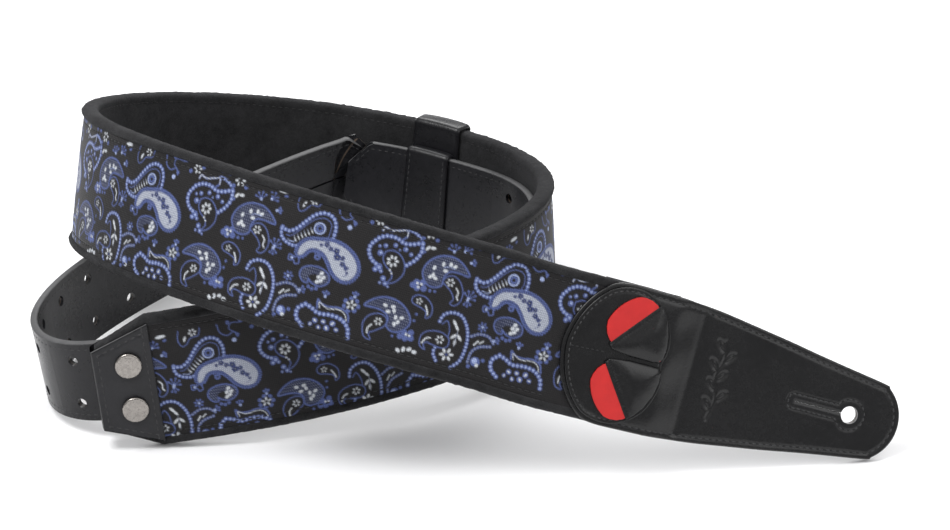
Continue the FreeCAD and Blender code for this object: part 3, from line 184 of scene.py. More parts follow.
belt, tail = Curve(BELT_ROUTE), Curve(TAIL_ROUTE)

def plane_frame(curve, s):
    c, w, n = [q[0] for q in curve.at(s)]
    w = w / np.linalg.norm(w)
    n = n - w * n.dot(w); n /= np.linalg.norm(n)
    return c, np.cross(w, n), w, n
TIP, END = plane_frame(belt, BELT_ROUTE[-1][0]), plane_frame(belt, 0.0)
LB = BELT_ROUTE[-1][0]

def local(F, p):
    p = np.asarray(p, float)
    return (F[0] + p[..., :1] * F[1] + p[..., 1:2] * F[2] + p[..., 2:3] * F[3]) / 1000

def to_local(F, P):
    q = np.asarray(P, float) * 1000 - F[0]
    return np.stack([q @ F[1], q @ F[2], q @ F[3]], -1)

# ---------------------------------------------------------------- mesh helpers
def mesh_obj(name, verts, faces, mat, body="strap", smooth=True, uv=None, replaces=()):
    me = bpy.data.meshes.new(name)
    me.from_pydata([tuple(v) for v in np.asarray(verts, float)], [], [tuple(int(i) for i in f) for f in faces])
    me.update()
    if uv is not None:
        lay = me.uv_layers.new(name="UVMap")
        idx = np.zeros(len(me.loops), np.int32)
        me.loops.foreach_get("vertex_index", idx)
        lay.data.foreach_set("uv", np.asarray(uv, float)[idx].ravel())
    if smooth:
        me.polygons.foreach_set("use_smooth", [True] * len(me.polygons))
    me.materials.append(mat)
    o = bpy.data.objects.new(name, me)
    bpy.context.scene.collection.objects.link(o)
    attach(o, body)
    if replaces:
        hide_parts(*replaces)
    return o

def grid_faces(n, m, wrap=False):
    """Quads of an n x m grid (row-major), optionally closed along m."""
    i = np.arange(n - 1)[:, None]
    j = np.arange(m if wrap else m - 1)[None]
    j2 = (j + 1) % m
    a = i * m + j; b = i * m + j2; c = (i + 1) * m + j2; d = (i + 1) * m + j
    return np.stack([a + 0 * j, b + 0 * i, c + 0 * i, d + 0 * j], -1).reshape(-1, 4)

def smooth_closed(pts, n):
    """Dense closed Catmull-Rom through pts."""
    p = np.asarray(pts, float); k = len(p)
    t = np.linspace(0, k, n, endpoint=False); i = t.astype(int); u = (t - i)[:, None]
    a, b, c, d = p[(i - 1) % k], p[i % k], p[(i + 1) % k], p[(i + 2) % k]
    return 0.5 * ((2 * b) + (-a + c) * u + (2 * a - 5 * b + 4 * c - d) * u ** 2 + (-a + 3 * b - 3 * c + d) * u ** 3)

def smooth_open(pts, step):
    p = np.asarray(pts, float); k = len(p)
    q = np.vstack([2 * p[0] - p[1], p, 2 * p[-1] - p[-2]])
    n = max(2, int(np.linalg.norm(np.diff(p, axis=0), axis=1).sum() / step))
    t = np.linspace(0, k - 1 - 1e-9, n); i = t.astype(int); u = (t - i)[:, None]
    a, b, c, d = q[i], q[i + 1], q[i + 2], q[i + 3]
    return 0.5 * ((2 * b) + (-a + c) * u + (2 * a - 5 * b + 4 * c - d) * u ** 2 + (-a + 3 * b - 3 * c + d) * u ** 3)

def resample(p, step, closed=False):
    p = np.asarray(p, float)
    if closed:
        p = np.vstack([p, p[:1]])
    l = np.concatenate([[0], np.cumsum(np.linalg.norm(np.diff(p, axis=0), axis=1))])
    n = max(2, int(round(l[-1] / step)))
    t = np.linspace(0, l[-1], n + 1)
    if closed:
        t = t[:-1]
    return np.stack([np.interp(t, l, p[:, k]) for k in range(p.shape[1])], -1), l[-1] / n

def inset(pts, d):
    p = np.asarray(pts, float)
    a, b = np.roll(p, 1, 0), np.roll(p, -1, 0)
    area = np.sum(p[:, 0] * b[:, 1] - b[:, 0] * p[:, 1])
    def nr(x, y):
        v = y - x
        v = v / np.maximum(np.linalg.norm(v, axis=1), 1e-9)[:, None]
        return np.stack([-v[:, 1], v[:, 0]], -1) * np.sign(area)
    n0, n1 = nr(a, p), nr(p, b)
    m = n0 + n1
    k = 2.0 / np.maximum((m * m).sum(1), 0.6)
    return p + m * k[:, None] * d

def seg_dist(q, poly, closed=True):
    """Distance of points q (n,2) to a polyline."""
    p = np.asarray(poly, float)
    a = p; b = np.roll(p, -1, 0)
    if not closed:
        a, b = p[:-1], p[1:]
    out = np.full(len(q), 1e9)
    for x, y in zip(a, b):
        v = y - x; l2 = max(v.dot(v), 1e-12)
        t = np.clip(((q - x) @ v) / l2, 0, 1)
        out = np.minimum(out, np.hypot(*(q - x - t[:, None] * v).T))
    return out

def inside(q, poly):
    p = np.asarray(poly, float)
    r = np.zeros(len(q), bool)
    j = len(p) - 1
    for i in range(len(p)):
        xi, yi, xj, yj = p[i, 0], p[i, 1], p[j, 0], p[j, 1]
        c = ((yi > q[:, 1]) != (yj > q[:, 1])) & (q[:, 0] < (xj - xi) * (q[:, 1] - yi) / (yj - yi + 1e-12) + xi)
        r ^= c
        j = i
    return r

def plate(name, F, outline, top, thick, rim, mat, body="strap", step=1.2, flip=False, cut=(), replaces=(), bottom=None, seg=0.9):
    """A sheet of leather cut to an outline: rounded rim, surface height top(u, v, edge distance) in local mm."""
    ring, _ = resample(outline, seg, True)
    bm = bmesh.new()
    rings = [ring] + [inset(ring, rim * k) for k in (0.12, 0.4, 1.0)]
    vs = [[bm.verts.new((x, y, 0)) for x, y in r] for r in rings]
    n = len(ring)
    for k in range(len(rings) - 1):
        for i in range(n):
            j = (i + 1) % n
            bm.faces.new((vs[k][i], vs[k][j], vs[k + 1][j], vs[k + 1][i]))
    f = bm.faces.new(vs[-1])
    bmesh.ops.triangulate(bm, faces=[f])
    lo, hi = ring.min(0), ring.max(0)
    for ax in (0, 1):
        for c in np.arange(lo[ax] + step, hi[ax] - step * 0.3, step):
            nrm = Vector((1, 0, 0)) if ax == 0 else Vector((0, 1, 0))
            bmesh.ops.bisect_plane(bm, geom=bm.verts[:] + bm.edges[:] + bm.faces[:], plane_co=nrm * float(c), plane_no=nrm, dist=0.02)
    bmesh.ops.remove_doubles(bm, verts=bm.verts[:], dist=0.01)
    bmesh.ops.dissolve_degenerate(bm, edges=bm.edges[:], dist=0.005)
    bm.verts.index_update()
    P = np.array([v.co[:2] for v in bm.verts])
    d = seg_dist(P, ring)
    faces = [[v.index for v in f.verts] for f in bm.faces]
    # keep a consistent winding
    good = []
    for f in faces:
        q = P[f]
        ar = np.sum(q[:, 0] * np.roll(q[:, 1], -1) - np.roll(q[:, 0], -1) * q[:, 1])
        if abs(ar) > 1e-7:
            good.append(f if ar > 0 else f[::-1])
    edges = {}
    for f in good:
        for a, b in zip(f, f[1:] + f[:1]):
            edges[(a, b)] = 1
    border = [(a, b) for (a, b) in edges if (b, a) not in edges]
    bm.free()
    x = np.clip(d / rim, 0, 1)
    drop = rim * (1 - np.sqrt(np.clip(1 - (1 - x) ** 2, 0, 1)))
    z = top(P[:, 0], P[:, 1], d)
    zb = (bottom(P[:, 0], P[:, 1], d) if bottom else z - thick)
    T = np.c_[P, z - np.minimum(drop, (z - zb) * 0.45)]
    Bt = np.c_[P, zb]
    sg = -1.0 if flip else 1.0
    V = np.vstack([T, Bt]); V[:, 2] *= sg
    N = len(P)
    fs = good + [[i + N for i in f[::-1]] for f in good] + [[b, a, a + N, b + N] for a, b in border]
    if flip:
        fs = [f[::-1] for f in fs]
    W = local(F, V)
    uv = np.vstack([P, P]) / 1000
    o = mesh_obj(name, W, fs, mat, body, uv=uv, replaces=replaces)
    for c in cut:
        boolean(o, c)
    return o

def boolean(o, cutter):
    m = o.modifiers.new("cut", "BOOLEAN")
    m.operation = "DIFFERENCE"; m.solver = "EXACT"; m.object = cutter
    bpy.context.view_layer.update()
    dg = bpy.context.evaluated_depsgraph_get()
    me = bpy.data.meshes.new_from_object(o.evaluated_get(dg))
    o.modifiers.clear()
    if len(me.polygons) > 10:
        o.data = me
    return o

def prism_cutter(F, poly, z0, z1):
    p = np.asarray(poly, float); n = len(p)
    V = np.vstack([np.c_[p, np.full(n, z0)], np.c_[p, np.full(n, z1)]])
    fs = [list(range(n))[::-1], [i + n for i in range(n)]] + [[i, (i + 1) % n, (i + 1) % n + n, i + n] for i in range(n)]
    me = bpy.data.meshes.new("cutter"); me.from_pydata([tuple(v) for v in local(F, V)], [], fs); me.update()
    bm = bmesh.new(); bm.from_mesh(me); bmesh.ops.recalc_face_normals(bm, faces=bm.faces); bm.to_mesh(me); bm.free()
    o = bpy.data.objects.new("cutter", me)
    bpy.context.scene.collection.objects.link(o)
    CUTTERS.append(o)
    return o
CUTTERS = []

def stitches(name, pts, nrm, mat, body="strap", length=2.4, gap=1.0, rad=0.33, closed=False, sink=0.1, skew=0.0):
    """Real stitches: small rounded threads lying along a path of world points (metres)."""
    pts = np.asarray(pts, float); nrm = np.asarray(nrm, float)
    both = np.hstack([pts, np.broadcast_to(nrm, pts.shape)])
    l = np.concatenate([[0], np.cumsum(np.linalg.norm(np.diff(pts, axis=0), axis=1))]) * 1000
    n = max(1, int(round(l[-1] / (length + gap))))
    pitch = l[-1] / n
    c = (np.arange(n) + 0.5) * pitch
    def at(t):
        return np.stack([np.interp(t, l, both[:, k]) for k in range(6)], -1)
    A, B = at(np.clip(c - length / 2, 0, l[-1])), at(np.clip(c + length / 2, 0, l[-1]))
    M = at(c)
    t = B[:, :3] - A[:, :3]; L = np.linalg.norm(t, axis=1)[:, None] + 1e-12; t /= L
    nn = M[:, 3:]; nn = nn - (nn * t).sum(1)[:, None] * t; nn /= np.linalg.norm(nn, axis=1)[:, None]
    sd = np.cross(nn, t)
    if skew:
        t = t + sd * skew; t /= np.linalg.norm(t, axis=1)[:, None]; sd = np.cross(nn, t)
    R, K = 5, 6
    V, Fc = [], []
    prof = [(-1.0, 0.25, -0.9), (-0.72, 0.85, -0.25), (0.0, 1.0, 0.12), (0.72, 0.85, -0.25), (1.0, 0.25, -0.9)]
    for u, r, h in prof:
        for k in range(K):
            a = 2 * math.pi * k / K
            V.append(M[:, :3] + t * (u * L / 2) + sd * (math.cos(a) * r * rad / 1000) + nn * ((math.sin(a) * r * 0.8 * rad + (h * 0.55) * rad - sink) / 1000))
    V = np.stack(V, 1)                     # n, R*K, 3
    base = grid_faces(R, K, True)
    fs = []
    caps = [list(range(K))[::-1], [(R - 1) * K + k for k in range(K)]]
    for i in range(n):
        o = i * R * K
        fs += [[q + o for q in f] for f in base.tolist()] + [[q + o for q in f] for f in caps]
    return mesh_obj(name, V.reshape(-1, 3), fs, mat, body)

# ---------------------------------------------------------------- materials
def lin(r, g, b):
    f = lambda c: (c / 255) / 12.92 if c / 255 <= 0.04045 else ((c / 255 + 0.055) / 1.055) ** 2.4
    return (f(r), f(g), f(b), 1.0)

class NT:
    """Small helper for node materials."""
    def __init__(self, name):
        self.m = bpy.data.materials.new(name)
        self.m.use_nodes = True
        self.t = self.m.node_tree
        self.p = self.t.nodes["Principled BSDF"]
    def n(self, kind, **kw):
        x = self.t.nodes.new(kind)
        for k, v in kw.items():
            if k in x.inputs:
                x.inputs[k].default_value = v
            else:
                setattr(x, k, v)
        return x
    def l(self, a, b):
        self.t.links.new(a, b)
    def coord(self, out="Object"):
        return self.n("ShaderNodeTexCoord").outputs[out]
    def noise(self, vec, scale, detail=4.0, rough=0.55):
        x = self.n("ShaderNodeTexNoise"); x.inputs["Scale"].default_value = scale
        x.inputs["Detail"].default_value = detail; x.inputs["Roughness"].default_value = rough
        self.l(vec, x.inputs["Vector"]); return x.outputs["Fac"]
    def voro(self, vec, scale, feature="F1", rnd=1.0):
        x = self.n("ShaderNodeTexVoronoi"); x.feature = feature; x.inputs["Scale"].default_value = scale
        x.inputs["Randomness"].default_value = rnd
        self.l(vec, x.inputs["Vector"]); return x.outputs["Distance"]
    def ramp(self, fac, stops):
        x = self.n("ShaderNodeValToRGB"); e = x.color_ramp.elements
        e[0].position, e[0].color = stops[0]; e[1].position, e[1].color = stops[-1]
        for p, c in stops[1:-1]:
            k = e.new(p); k.color = c
        self.l(fac, x.inputs["Fac"]); return x.outputs["Color"]
    def math(self, op, a, b=None, c=None):
        x = self.n("ShaderNodeMath"); x.operation = op
        for i, v in enumerate((a, b, c)):
            if v is None: continue
            if isinstance(v, (int, float)): x.inputs[i].default_value = v
            else: self.l(v, x.inputs[i])
        return x.outputs[0]
    def mapping(self, vec, scale=(1, 1, 1), rot=(0, 0, 0)):
        x = self.n("ShaderNodeMapping"); x.inputs["Scale"].default_value = scale; x.inputs["Rotation"].default_value = rot
        self.l(vec, x.inputs["Vector"]); return x.outputs["Vector"]
    def mix(self, fac, a, b, mode="MIX"):
        x = self.n("ShaderNodeMix"); x.data_type = "RGBA"; x.blend_type = mode
        if isinstance(fac, (int, float)): x.inputs[0].default_value = fac
        else: self.l(fac, x.inputs[0])
        for i, v in ((6, a), (7, b)):
            if isinstance(v, tuple): x.inputs[i].default_value = v
            else: self.l(v, x.inputs[i])
        return x.outputs[2]
    def wave(self, vec, scale, direction="X"):
        x = self.n("ShaderNodeTexWave"); x.wave_type = "BANDS"; x.bands_direction = direction
        x.inputs["Scale"].default_value = scale; x.inputs["Distortion"].default_value = 0.0
        self.l(vec, x.inputs["Vector"]); return x.outputs["Fac"]
    def bump(self, pairs):
        """pairs of (height socket, strength, distance)"""
        last = None
        for h, s, d in pairs:
            b = self.n("ShaderNodeBump"); b.inputs["Strength"].default_value = s; b.inputs["Distance"].default_value = d
            self.l(h, b.inputs["Height"])
            if last is not None: self.l(last, b.inputs["Normal"])
            last = b.outputs["Normal"]
        self.l(last, self.p.inputs["Normal"])
    def set(self, **kw):
        for k, v in kw.items():
            self.p.inputs[k.replace("_", " ")].default_value = v

def leather(name, dark, light, rough=(0.3, 0.45), grain=1500, gstr=0.35, coat=0.0, wrinkle=0.25, spec=0.5):
    m = NT(name); v = m.coord("Object")
    big = m.noise(v, 28, 5, 0.6)
    fine = m.noise(v, 420, 6, 0.65)
    col = m.ramp(m.math("ADD", m.math("MULTIPLY", big, 0.6), m.math("MULTIPLY", fine, 0.4)), [(0.3, dark), (0.72, light)])
    m.l(col, m.p.inputs["Base Color"])
    r = m.n("ShaderNodeMapRange"); m.l(m.math("ADD", m.math("MULTIPLY", big, 0.5), m.math("MULTIPLY", fine, 0.5)), r.inputs["Value"])
    r.inputs["From Min"].default_value = 0.3; r.inputs["From Max"].default_value = 0.7
    r.inputs["To Min"].default_value = rough[0]; r.inputs["To Max"].default_value = rough[1]
    m.l(r.outputs[0], m.p.inputs["Roughness"])
    g = m.voro(v, grain, "F1"); g2 = m.noise(v, grain * 0.45, 3, 0.6); w = m.noise(v, 90, 4, 0.5)
    m.bump([(w, wrinkle, 0.0006), (g2, gstr * 0.6, 0.00025), (g, gstr, 0.00012)])
    m.set(Coat_Weight=coat, Coat_Roughness=0.22, Specular_IOR_Level=spec)
    return m.m

M_TAB = leather("tab_leather", lin(9, 9, 10), lin(20, 20, 21), (0.18, 0.34), 1500, 0.26, 0.3, 0.5, 0.24)
M_TABEDGE = leather("tab_edge", lin(20, 20, 21), lin(44, 44, 45), (0.5, 0.7), 1500, 0.4, 0.0, 0.3)
M_TAIL = leather("tail_leather", lin(20, 20, 22), lin(36, 36, 39), (0.22, 0.36), 1700, 0.22, 0.1, 0.25, 0.24)
M_CAP = leather("cap_leather", lin(20, 20, 22), lin(38, 38, 41), (0.28, 0.44), 1700, 0.28, 0.0, 0.3, 0.28)
M_KEEP = leather("keeper_leather", lin(15, 15, 17), lin(30, 30, 33), (0.22, 0.36), 1600, 0.22, 0.0, 0.2, 0.3)
# pale grey edge leather: a painted highlight standing in for the lit rims of the cut edges
M_EDGE_PAINTED_HIGHLIGHT = leather("leather_edge_painted_highlight", lin(50, 50, 52), lin(92, 92, 93), (0.5, 0.7), 1800, 0.5, 0.0, 0.3)
M_BOARD = leather("board", lin(70, 58, 48), lin(96, 82, 70), (0.7, 0.85), 900, 0.4)

def suede(name, dark, light):
    m = NT(name); v = m.coord("Object")
    big = m.noise(v, 45, 5, 0.62); mid = m.noise(v, 260, 5, 0.7); fine = m.noise(v, 1500, 4, 0.75)
    f = m.math("ADD", m.math("ADD", m.math("MULTIPLY", big, 0.35), m.math("MULTIPLY", mid, 0.3)), m.math("MULTIPLY", fine, 0.35))
    m.l(m.ramp(f, [(0.34, dark), (0.66, light)]), m.p.inputs["Base Color"])
    m.l(m.math("ADD", m.math("MULTIPLY", mid, 0.1), 0.86), m.p.inputs["Roughness"])
    m.bump([(mid, 0.6, 0.0006), (fine, 1.0, 0.0005)])
    m.set(Specular_IOR_Level=0.08, Sheen_Weight=0.10, Sheen_Roughness=0.6)
    m.p.inputs["Sheen Tint"].default_value = (0.55, 0.55, 0.58, 1)
    return m.m
M_SUEDE = suede("suede", lin(11, 11, 12), lin(50, 50, 51))

def cloth():
    m = NT("woven_cloth")
    at = m.n("ShaderNodeAttribute"); at.attribute_name = "Col"; at.attribute_type = "GEOMETRY"
    uv = m.coord("UV")
    warp = m.wave(uv, 1 / 0.00042 / 6.2832 * 1.0, "X")
    weft = m.wave(uv, 1 / 0.00048 / 6.2832 * 1.0, "Y")
    diag = m.wave(uv, 1 / 0.00075 / 6.2832 * 1.0, "DIAGONAL")
    th = m.math("MULTIPLY", warp, weft)
    nz = m.noise(uv, 900, 3, 0.7); big = m.noise(uv, 60, 4, 0.6)
    # colour variation: the noises give random tone, and the weave term th lightens the thread crossings and darkens
    # between them, a painted thread sheen and shade
    f = m.math("ADD", m.math("MULTIPLY", th, 0.55), m.math("ADD", m.math("MULTIPLY", nz, 0.6), m.math("MULTIPLY", big, 0.35)))
    k = m.ramp(f, [(0.2, (0.62, 0.62, 0.64, 1)), (0.95, (1.35, 1.35, 1.33, 1))])
    col = m.mix(1.0, at.outputs["Color"], k, "MULTIPLY")
    m.l(col, m.p.inputs["Base Color"])
    m.l(m.math("ADD", m.math("MULTIPLY", nz, 0.2), 0.5), m.p.inputs["Roughness"])
    m.bump([(big, 0.2, 0.0006), (th, 0.55, 0.00016), (diag, 0.25, 0.0001)])
    m.set(Specular_IOR_Level=0.16, Sheen_Weight=0.05, Sheen_Roughness=0.4)
    return m.m
M_CLOTH = cloth()

def thread(name, a, b):
    m = NT(name); v = m.coord("Object")
    n = m.noise(v, 2200, 3, 0.6)
    m.l(m.ramp(n, [(0.3, a), (0.7, b)]), m.p.inputs["Base Color"])
    m.l(m.math("ADD", m.math("MULTIPLY", n, 0.2), 0.5), m.p.inputs["Roughness"])
    m.bump([(n, 0.6, 0.0002)])
    return m.m
M_THREAD = thread("thread_black", lin(8, 8, 9), lin(26, 26, 28))
M_THREADT = thread("thread_tab", lin(20, 20, 21), lin(52, 52, 54))
M_THREADG = thread("thread_grey", lin(22, 22, 24), lin(48, 48, 50))

def nickel():
    m = NT("nickel"); v = m.coord("Object")
    n = m.noise(v, 700, 5, 0.7); s = m.voro(v, 900)
    m.l(m.ramp(n, [(0.3, lin(128, 124, 120)), (0.7, lin(158, 153, 148))]), m.p.inputs["Base Color"])
    m.l(m.math("ADD", m.math("MULTIPLY", n, 0.16), 0.2), m.p.inputs["Roughness"])
    m.bump([(n, 0.12, 0.0001), (s, 0.1, 0.0001)])
    m.set(Metallic=1.0)
    return m.m
M_NICKEL = nickel()

def pick_mat():
    m = NT("pick_red"); v = m.coord("Object")
    n = m.noise(v, 120, 4, 0.6); f = m.noise(v, 1400, 3, 0.6)
    m.l(m.ramp(n, [(0.3, lin(176, 14, 16)), (0.72, lin(192, 24, 22))]), m.p.inputs["Base Color"])
    m.l(m.math("ADD", m.math("MULTIPLY", f, 0.14), 0.34), m.p.inputs["Roughness"])
    m.bump([(f, 0.12, 0.0001), (n, 0.15, 0.0004)])
    m.set(Subsurface_Weight=0.06, Coat_Weight=0.15, Coat_Roughness=0.25)
    m.p.inputs["Subsurface Radius"].default_value = (0.002, 0.0005, 0.0005)
    return m.m
M_PICK = pick_mat()

for nname, mt in {"tab_front_leather": M_TAB, "tab_stiffener": M_BOARD, "tab_back_leather": M_TAB, "pick_patch_base": M_TAB,
                  "upper_pick_pocket": M_TAB, "lower_pick_pocket": M_TAB, "pick_upper": M_PICK, "pick_lower": M_PICK,
                  "end_cap_front": M_CAP, "end_cap_back": M_CAP, "stud_upper": M_NICKEL, "stud_lower": M_NICKEL,
                  "stud_screw_upper": M_NICKEL, "stud_screw_lower": M_NICKEL, "tail_outer_leather": M_TAIL, "tail_core": M_BOARD,
                  "tail_inner_leather": M_TAIL, "keeper_loop": M_KEEP, "keeper_sleeve": M_KEEP}.items():
    o = NODES[nname]
    for sl in o.material_slots:
        sl.material = mt
    if not o.material_slots:
        o.data.materials.append(mt)

# ---------------------------------------------------------------- woven pattern (drawn in flat strap millimetres)
RES = 5.0                    # samples per mm
REP = 86.7
HW = 36.0
NX, NY = int(round(REP * RES)), int(2 * HW * RES)
GX, GY = np.meshgrid((np.arange(NX) + 0.5) / NX * REP, (np.arange(NY) + 0.5) / RES - HW)
C_BG = np.array(lin(30, 29, 30)[:3]); C_BLUE = np.array(lin(74, 86, 132)[:3]); C_LIGHT = np.array(lin(138, 150, 186)[:3])
C_PALE = np.array(lin(118, 124, 142)[:3]); C_NAVY = np.array(lin(46, 56, 100)[:3]); C_DK = np.array(lin(36, 40, 62)[:3])
C_CREAM = np.array(lin(178, 182, 188)[:3])
IMG = np.tile(C_BG, (NY, NX, 1)).astype(float)
REL = np.zeros((NY, NX))

def _blend(x0, x1, y0, y1, mask, col, h, yy, xx):
    xi = xx % NX
    sub = IMG[np.ix_(yy, xi)]
    IMG[np.ix_(yy, xi)] = sub * (1 - mask[..., None]) + np.asarray(col) * mask[..., None]
    r = REL[np.ix_(yy, xi)]
    REL[np.ix_(yy, xi)] = r * (1 - mask) + h * mask

def _win(pts, pad):
    lo, hi = np.min(pts, 0) - pad, np.max(pts, 0) + pad
    xx = np.arange(int(math.floor(lo[0] / REP * NX)), int(math.ceil(hi[0] / REP * NX)) + 1)
    yy = np.arange(max(0, int((lo[1] + HW) * RES)), min(NY, int((hi[1] + HW) * RES) + 2))
    X, Y = np.meshgrid((xx + 0.5) / NX * REP, (yy + 0.5) / RES - HW)
    return xx, yy, X, Y

AA = 0.16
def _cov(d):
    return np.clip(0.5 - d / (2 * AA), 0, 1)

def stroke(pts, w, col, h=1.0, curve=True, closed=False):
    p = np.asarray(pts, float)
    if curve:
        p = smooth_closed(p, max(24, 8 * len(p))) if closed else smooth_open(p, 0.7)
    xx, yy, X, Y = _win(p, w + 1)
    if len(yy) == 0: return
    q = np.stack([X.ravel(), Y.ravel()], -1)
    d = seg_dist(q, p, closed).reshape(X.shape) - w * 0.40
    _blend(0, 0, 0, 0, _cov(d), col, h, yy, xx)

def area(pts, col, h=0.6, curve=True, grow=0.0, hatch=None, dots=None):
    p = np.asarray(pts, float)
    if curve: p = smooth_closed(p, max(40, 8 * len(p)))
    xx, yy, X, Y = _win(p, 2 + grow)
    if len(yy) == 0: return
    q = np.stack([X.ravel(), Y.ravel()], -1)
    d = seg_dist(q, p)
    d = np.where(inside(q, p), -d, d).reshape(X.shape) - grow
    m = _cov(d)
    if hatch is not None:
        ph = (X + Y) * (2 * math.pi / 0.95)
        k = (0.5 + 0.5 * np.sin(ph))[..., None]
        c = np.asarray(col) * k + np.asarray(hatch) * (1 - k)
        xi = xx % NX
        sub = IMG[np.ix_(yy, xi)]
        IMG[np.ix_(yy, xi)] = sub * (1 - m[..., None]) + c * m[..., None]
        REL[np.ix_(yy, xi)] = REL[np.ix_(yy, xi)] * (1 - m) + h * m
    else:
        _blend(0, 0, 0, 0, m, col, h, yy, xx)
    if dots is not None:
        dc, pitch, r = dots
        u = (X + 0.5 * pitch * (np.floor(Y / (pitch * 0.87)) % 2)) % pitch - pitch / 2
        v = Y % (pitch * 0.87) - pitch * 0.435
        dd = np.hypot(u, v) - r
        _blend(0, 0, 0, 0, _cov(dd) * _cov(d + 0.5), dc, h, yy, xx)

def dot(x, y, r, col, h=1.0):
    p = np.array([[x, y]])
    xx, yy, X, Y = _win(p, r + 1)
    if len(yy) == 0: return
    _blend(0, 0, 0, 0, _cov(np.hypot(X - x, Y - y) - r), col, h, yy, xx)

def ell(x, y, a, b, ang, col, h=1.0):
    xx, yy, X, Y = _win(np.array([[x, y]]), max(a, b) + 1)
    if len(yy) == 0: return
    c, s = math.cos(ang), math.sin(ang)
    u = ((X - x) * c + (Y - y) * s) / a; v = (-(X - x) * s + (Y - y) * c) / b
    _blend(0, 0, 0, 0, _cov((np.hypot(u, v) - 1) * min(a, b)), col, h, yy, xx)

def beads(pts, r=0.95, pitch=1.7, rim=C_BLUE, core=C_LIGHT, curve=True, side=0.0):
    p = smooth_open(pts, 0.3) if curve else np.asarray(pts, float)
    c, st = resample(p, pitch)
    t = np.gradient(c, axis=0); an = np.arctan2(t[:, 1], t[:, 0])
    for (x, y), a in zip(c, an):
        ell(x, y, pitch * 0.54, r * 0.98, a, rim)
    for (x, y), a in zip(c, an):
        ell(x - math.sin(a) * side, y + math.cos(a) * side, pitch * 0.28, r * 0.56, a, core)

def flower(x, y, r, n=6, petal=C_CREAM, mid=C_BG, ring=None, ph=0.2):
    if ring is not None:
        dot(x, y, r * 1.45, ring)
    for k in range(n):
        a = ph + 2 * math.pi * k / n
        ell(x + math.cos(a) * r * 0.92, y + math.sin(a) * r * 0.92, r * 0.40, r * 0.27, a, petal)
    dot(x, y, r * 0.35, mid)

def sprig(x, y, ang, L=3.0, col=C_BLUE, n=5):
    for k in range(n):
        a = ang + (k - (n - 1) / 2) * 0.62
        ex, ey = x + math.cos(a) * L * (1 - 0.08 * abs(k - (n - 1) / 2)), y + math.sin(a) * L * (1 - 0.08 * abs(k - (n - 1) / 2))
        stroke([(x, y), (ex, ey)], 0.55, col, curve=False)
        dot(ex, ey, 0.55, col)
    dot(x, y, 0.6, C_LIGHT)

